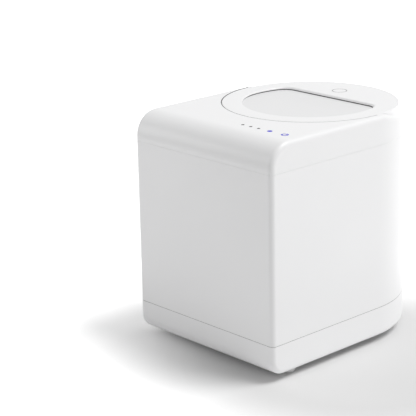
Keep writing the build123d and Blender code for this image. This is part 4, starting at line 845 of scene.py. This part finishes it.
far_side = [(Vector((-place.x, place.y, 0)), Vector((-outward.x, outward.y, 0)), room)
            for place, outward, room in reversed(stations)]
rim_rows, strip_rows = [], []
for place, outward, room in stations + far_side:
    left = 1 - share_at(place)
    drop = insert_drop(left)
    foot_rise = -drop + INSERT_GAP * min(1.0, (1 - left) / GRIP_RUN) ** 2 + RIM_LIFT
    reach = -foot_rise * RIM_SLOPE
    slope = [(reach * run, foot_rise * fall) for run, fall in (RIM_BEND, RIM_BELLY, RIM_HEEL)]
    rim_rows.append(section_at(place, outward,
                               [(-room, RIM_FILM), (0, RIM_FILM), *slope, (-room, foot_rise)]))
    near, far = reach * STRIP_NEAR, reach * STRIP_FAR
    upper, lower = foot_rise + RIM_LIFT, -drop - RIM_LIFT
    strip_rows.append(section_at(place, outward,
                                 [(near, upper), (far, upper), (far, lower), (near, lower)]))
fitted(solid("recess_rim", rim_rows, white_abs), "lid_cover", "shell_white")
# Painted shadow: this dark grey stands in for the shade under the recess rim and in the gap round
# the lid's front.
shadow_line_grey = moulded("grey_elastomer", SHADOW_LINE_GREY, 0.6, 900.0)
fitted(solid("fingertip_strip", strip_rows, shadow_line_grey), "lid_cover", "rubber_black")

insert_rows = []
for place, outward, room in stations:
    edge = place + outward * room
    face = lid_top - insert_drop(1 - share_at(edge)) + RIM_LIFT
    across = [edge.x * (1 - 2 * at / INSERT_STEPS) for at in range(INSERT_STEPS + 1)]
    insert_rows.append([Vector((x, edge.y, face)) for x in across]
                       + [Vector((x, edge.y, face - INSERT_SKIN)) for x in reversed(across)])
# Painted shade: the insert is coloured darker than the shell for the shade in the recess.
recess_shade_finish = moulded("satin_white_insert", RECESS_SHADE_WHITE, 0.44, 1500.0)
fitted(solid("recess_insert", insert_rows, recess_shade_finish), "lid_cover", "shell_white")

strip = Recipe("soft_strip", Radius=float, Start=float, Sweep=float, Bead=float)
run = strip.node("GeometryNodeCurveArc", None,
                 {"Resolution": LIP_STEPS, "Radius": strip.given("Radius"),
                  "Start Angle": strip.given("Start"), "Sweep Angle": strip.given("Sweep")})
bead = strip.circle(strip.given("Bead"), LIP_SIDES)
strip.close(strip.placed(strip.node("GeometryNodeCurveToMesh", None,
                                    {0: run, 1: bead, "Fill Caps": True})))
# The dark bead in the gap round the lid's front is painted shadow.
lip = made(strip, "lid_lip", [(*lid_centre, lid_high.z - LIP_DROP)], shadow_line_grey,
           Radius=lid_radius + LIP_GAP / 2, Start=pi, Sweep=pi, Bead=LIP_GAP * LIP_SHARE)
fitted(lip, "housing", "rubber_black")
printed = moulded("printed_grey", MARK_GREY, 0.45, 900.0)
mark = flat_ring("lid_mark", printed,
                 (lid_centre[0] + MARK_PLACE[0], lid_centre[1] + MARK_PLACE[1], lid_high.z),
                 MARK_OUTER, MARK_INNER, MARK_FILM)
fitted(mark, "lid_cover", "light_grey")

gasket_low, gasket_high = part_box("lid_gasket")
outer = (gasket_high.x - gasket_low.x) / 2
tall = gasket_high.z - gasket_low.z
inner, waist = outer - GASKET_BEAD * GASKET_REACH, outer - GASKET_BEAD
gasket_finish = moulded("black_silicone", GASKET_BLACK, 0.5, 1200.0)
two_lips = [(inner, 0), (waist, 0), (outer, GASKET_BEAD), (waist, tall * 0.5),
            (outer, tall - GASKET_BEAD), (waist, tall), (inner, tall)]
gasket = turned("lip_gasket", gasket_finish, (*lid_centre, gasket_low.z), two_lips, GASKET_STEPS)
fitted(gasket, "lid_core", "rubber_black", "lid_gasket")

# ---------------------------------------------------------------- room
# A white sweep under a wide soft lamp high behind on the right, with a lower one in front on
# the left and a pale surround.  Seen directly, the sweep carries a painted shadow: its colour
# is graded from a pale grey near a point right of the machine, painted shade round it, to
# beyond white farther out.
LENS, CAMERA_PLACE, CAMERA_TURN = 139.11, (1.5406, -1.5819, 0.8629), (47.340, 72.882, -1.169)
SWEEP_REACH, SWEEP_PLAIN, SWEEP_PAINTED_SHADE, SWEEP_FAR = 6.0, 0.92, 0.72, 1.8
PAINTED_SHADE_MIDDLE, SWEEP_RAMP, SWEEP_MOTTLE = (0.156, -0.016, 0), (0.165, 0.45), 0.99
SENSOR_WIDTH, FAR_CLIP = 36.0, 50.0
SOFT_LEVEL, WHITE_LEVEL, STUDIO_MIDDLE = 0.34, 1.0, Vector((0, 0, 0.17))
# direction, distance, diameter, power
KEY_LAMP = (0.43, 0.32, 0.88), 7.0, 4.2, 372.0
FILL_LAMP = (-0.70, -0.62, 0.30), 1.7, 0.7, 4.1

turn, tilt, roll = (radians(angle) for angle in CAMERA_TURN)
lens = bpy.data.cameras.new("camera")
lens.sensor_width = SENSOR_WIDTH
lens.lens = LENS
lens.clip_end = FAR_CLIP
camera = bpy.data.objects.new("camera", lens)
camera.matrix_world = (Matrix.Translation(CAMERA_PLACE) @ Matrix.Rotation(turn, 4, "Z")
                       @ Matrix.Rotation(tilt, 4, "X") @ Matrix.Rotation(roll, 4, "Z"))
bpy.context.scene.collection.objects.link(camera)
bpy.context.scene.camera = camera


def seen_directly(tree):
    """1 for what the camera sees, straight or in a mirror or through glass."""
    camera_ray, glossy, through = (
        tree.node("ShaderNodeLightPath", out=kind)
        for kind in ("Is Camera Ray", "Is Glossy Ray", "Is Transmission Ray"))
    return camera_ray.math("MAXIMUM", camera_ray.math("MAXIMUM", camera_ray, glossy), through)


def grey(value):
    return (value,) * 3 + (1,)


floor_mesh = bpy.data.meshes.new("floor")
floor_mesh.from_pydata([(x * SWEEP_REACH, y * SWEEP_REACH, 0)
                        for x, y in ((-1, -1), (1, -1), (1, 1), (-1, 1))],
                       [], [(0, 1, 2, 3)])
floor = bpy.data.objects.new("floor", floor_mesh)
bpy.context.scene.collection.objects.link(floor)
sweep = Finish("sweep_white", Roughness=0.6, Specular_IOR_Level=0.2)
level = sweep.noise(3.0)
sweep.feed(Base_Color=sweep.tint(level, grey(SWEEP_PLAIN), grey(SWEEP_PLAIN * SWEEP_MOTTLE)))
away = sweep.node("ShaderNodeVectorMath", {"operation": "DISTANCE"},
                  {0: sweep.place, 1: PAINTED_SHADE_MIDDLE}, "Value")
# Painted shadow: seen directly, the sweep is darkened round a point right of the machine.
shadow_to_white_grade = sweep.tint(away.between(*SWEEP_RAMP), grey(SWEEP_PAINTED_SHADE), grey(SWEEP_FAR))
lit = sweep.node("ShaderNodeBsdfDiffuse", None, {"Color": shadow_to_white_grade})
plain = Signal(sweep, sweep.shader.outputs[0])
both = sweep.node("ShaderNodeMixShader", None, {0: seen_directly(sweep), 1: plain, 2: lit})
sweep.tree.links.new(both.socket, sweep.tree.nodes["Material Output"].inputs["Surface"])
floor_mesh.materials.append(sweep.material)

world = bpy.data.worlds.new("surround")
bpy.context.scene.world = world
world.use_nodes = True
surround = NodeTree(world.node_tree)
soft, white = (surround.node("ShaderNodeBackground", None,
                             {"Color": grey(1), "Strength": strength})
               for strength in (SOFT_LEVEL, WHITE_LEVEL))
backdrop = surround.node("ShaderNodeMixShader", None,
                         {0: seen_directly(surround), 1: soft, 2: white})
surround.tree.links.new(backdrop.socket, surround.tree.nodes["World Output"].inputs["Surface"])

for name, (direction, distance, diameter, power) in (("key", KEY_LAMP), ("fill", FILL_LAMP)):
    disk = bpy.data.lights.new(name, "AREA")
    disk.shape = "DISK"
    disk.size = diameter
    disk.energy = power
    towards = Vector(direction).normalized()
    lamp = bpy.data.objects.new(name, disk)
    lamp.matrix_world = (Matrix.Translation(STUDIO_MIDDLE + distance * towards)
                         @ towards.to_track_quat("Z", "Y").to_matrix().to_4x4())
    bpy.context.scene.collection.objects.link(lamp)
bpy.context.scene.view_settings.view_transform = "Standard"
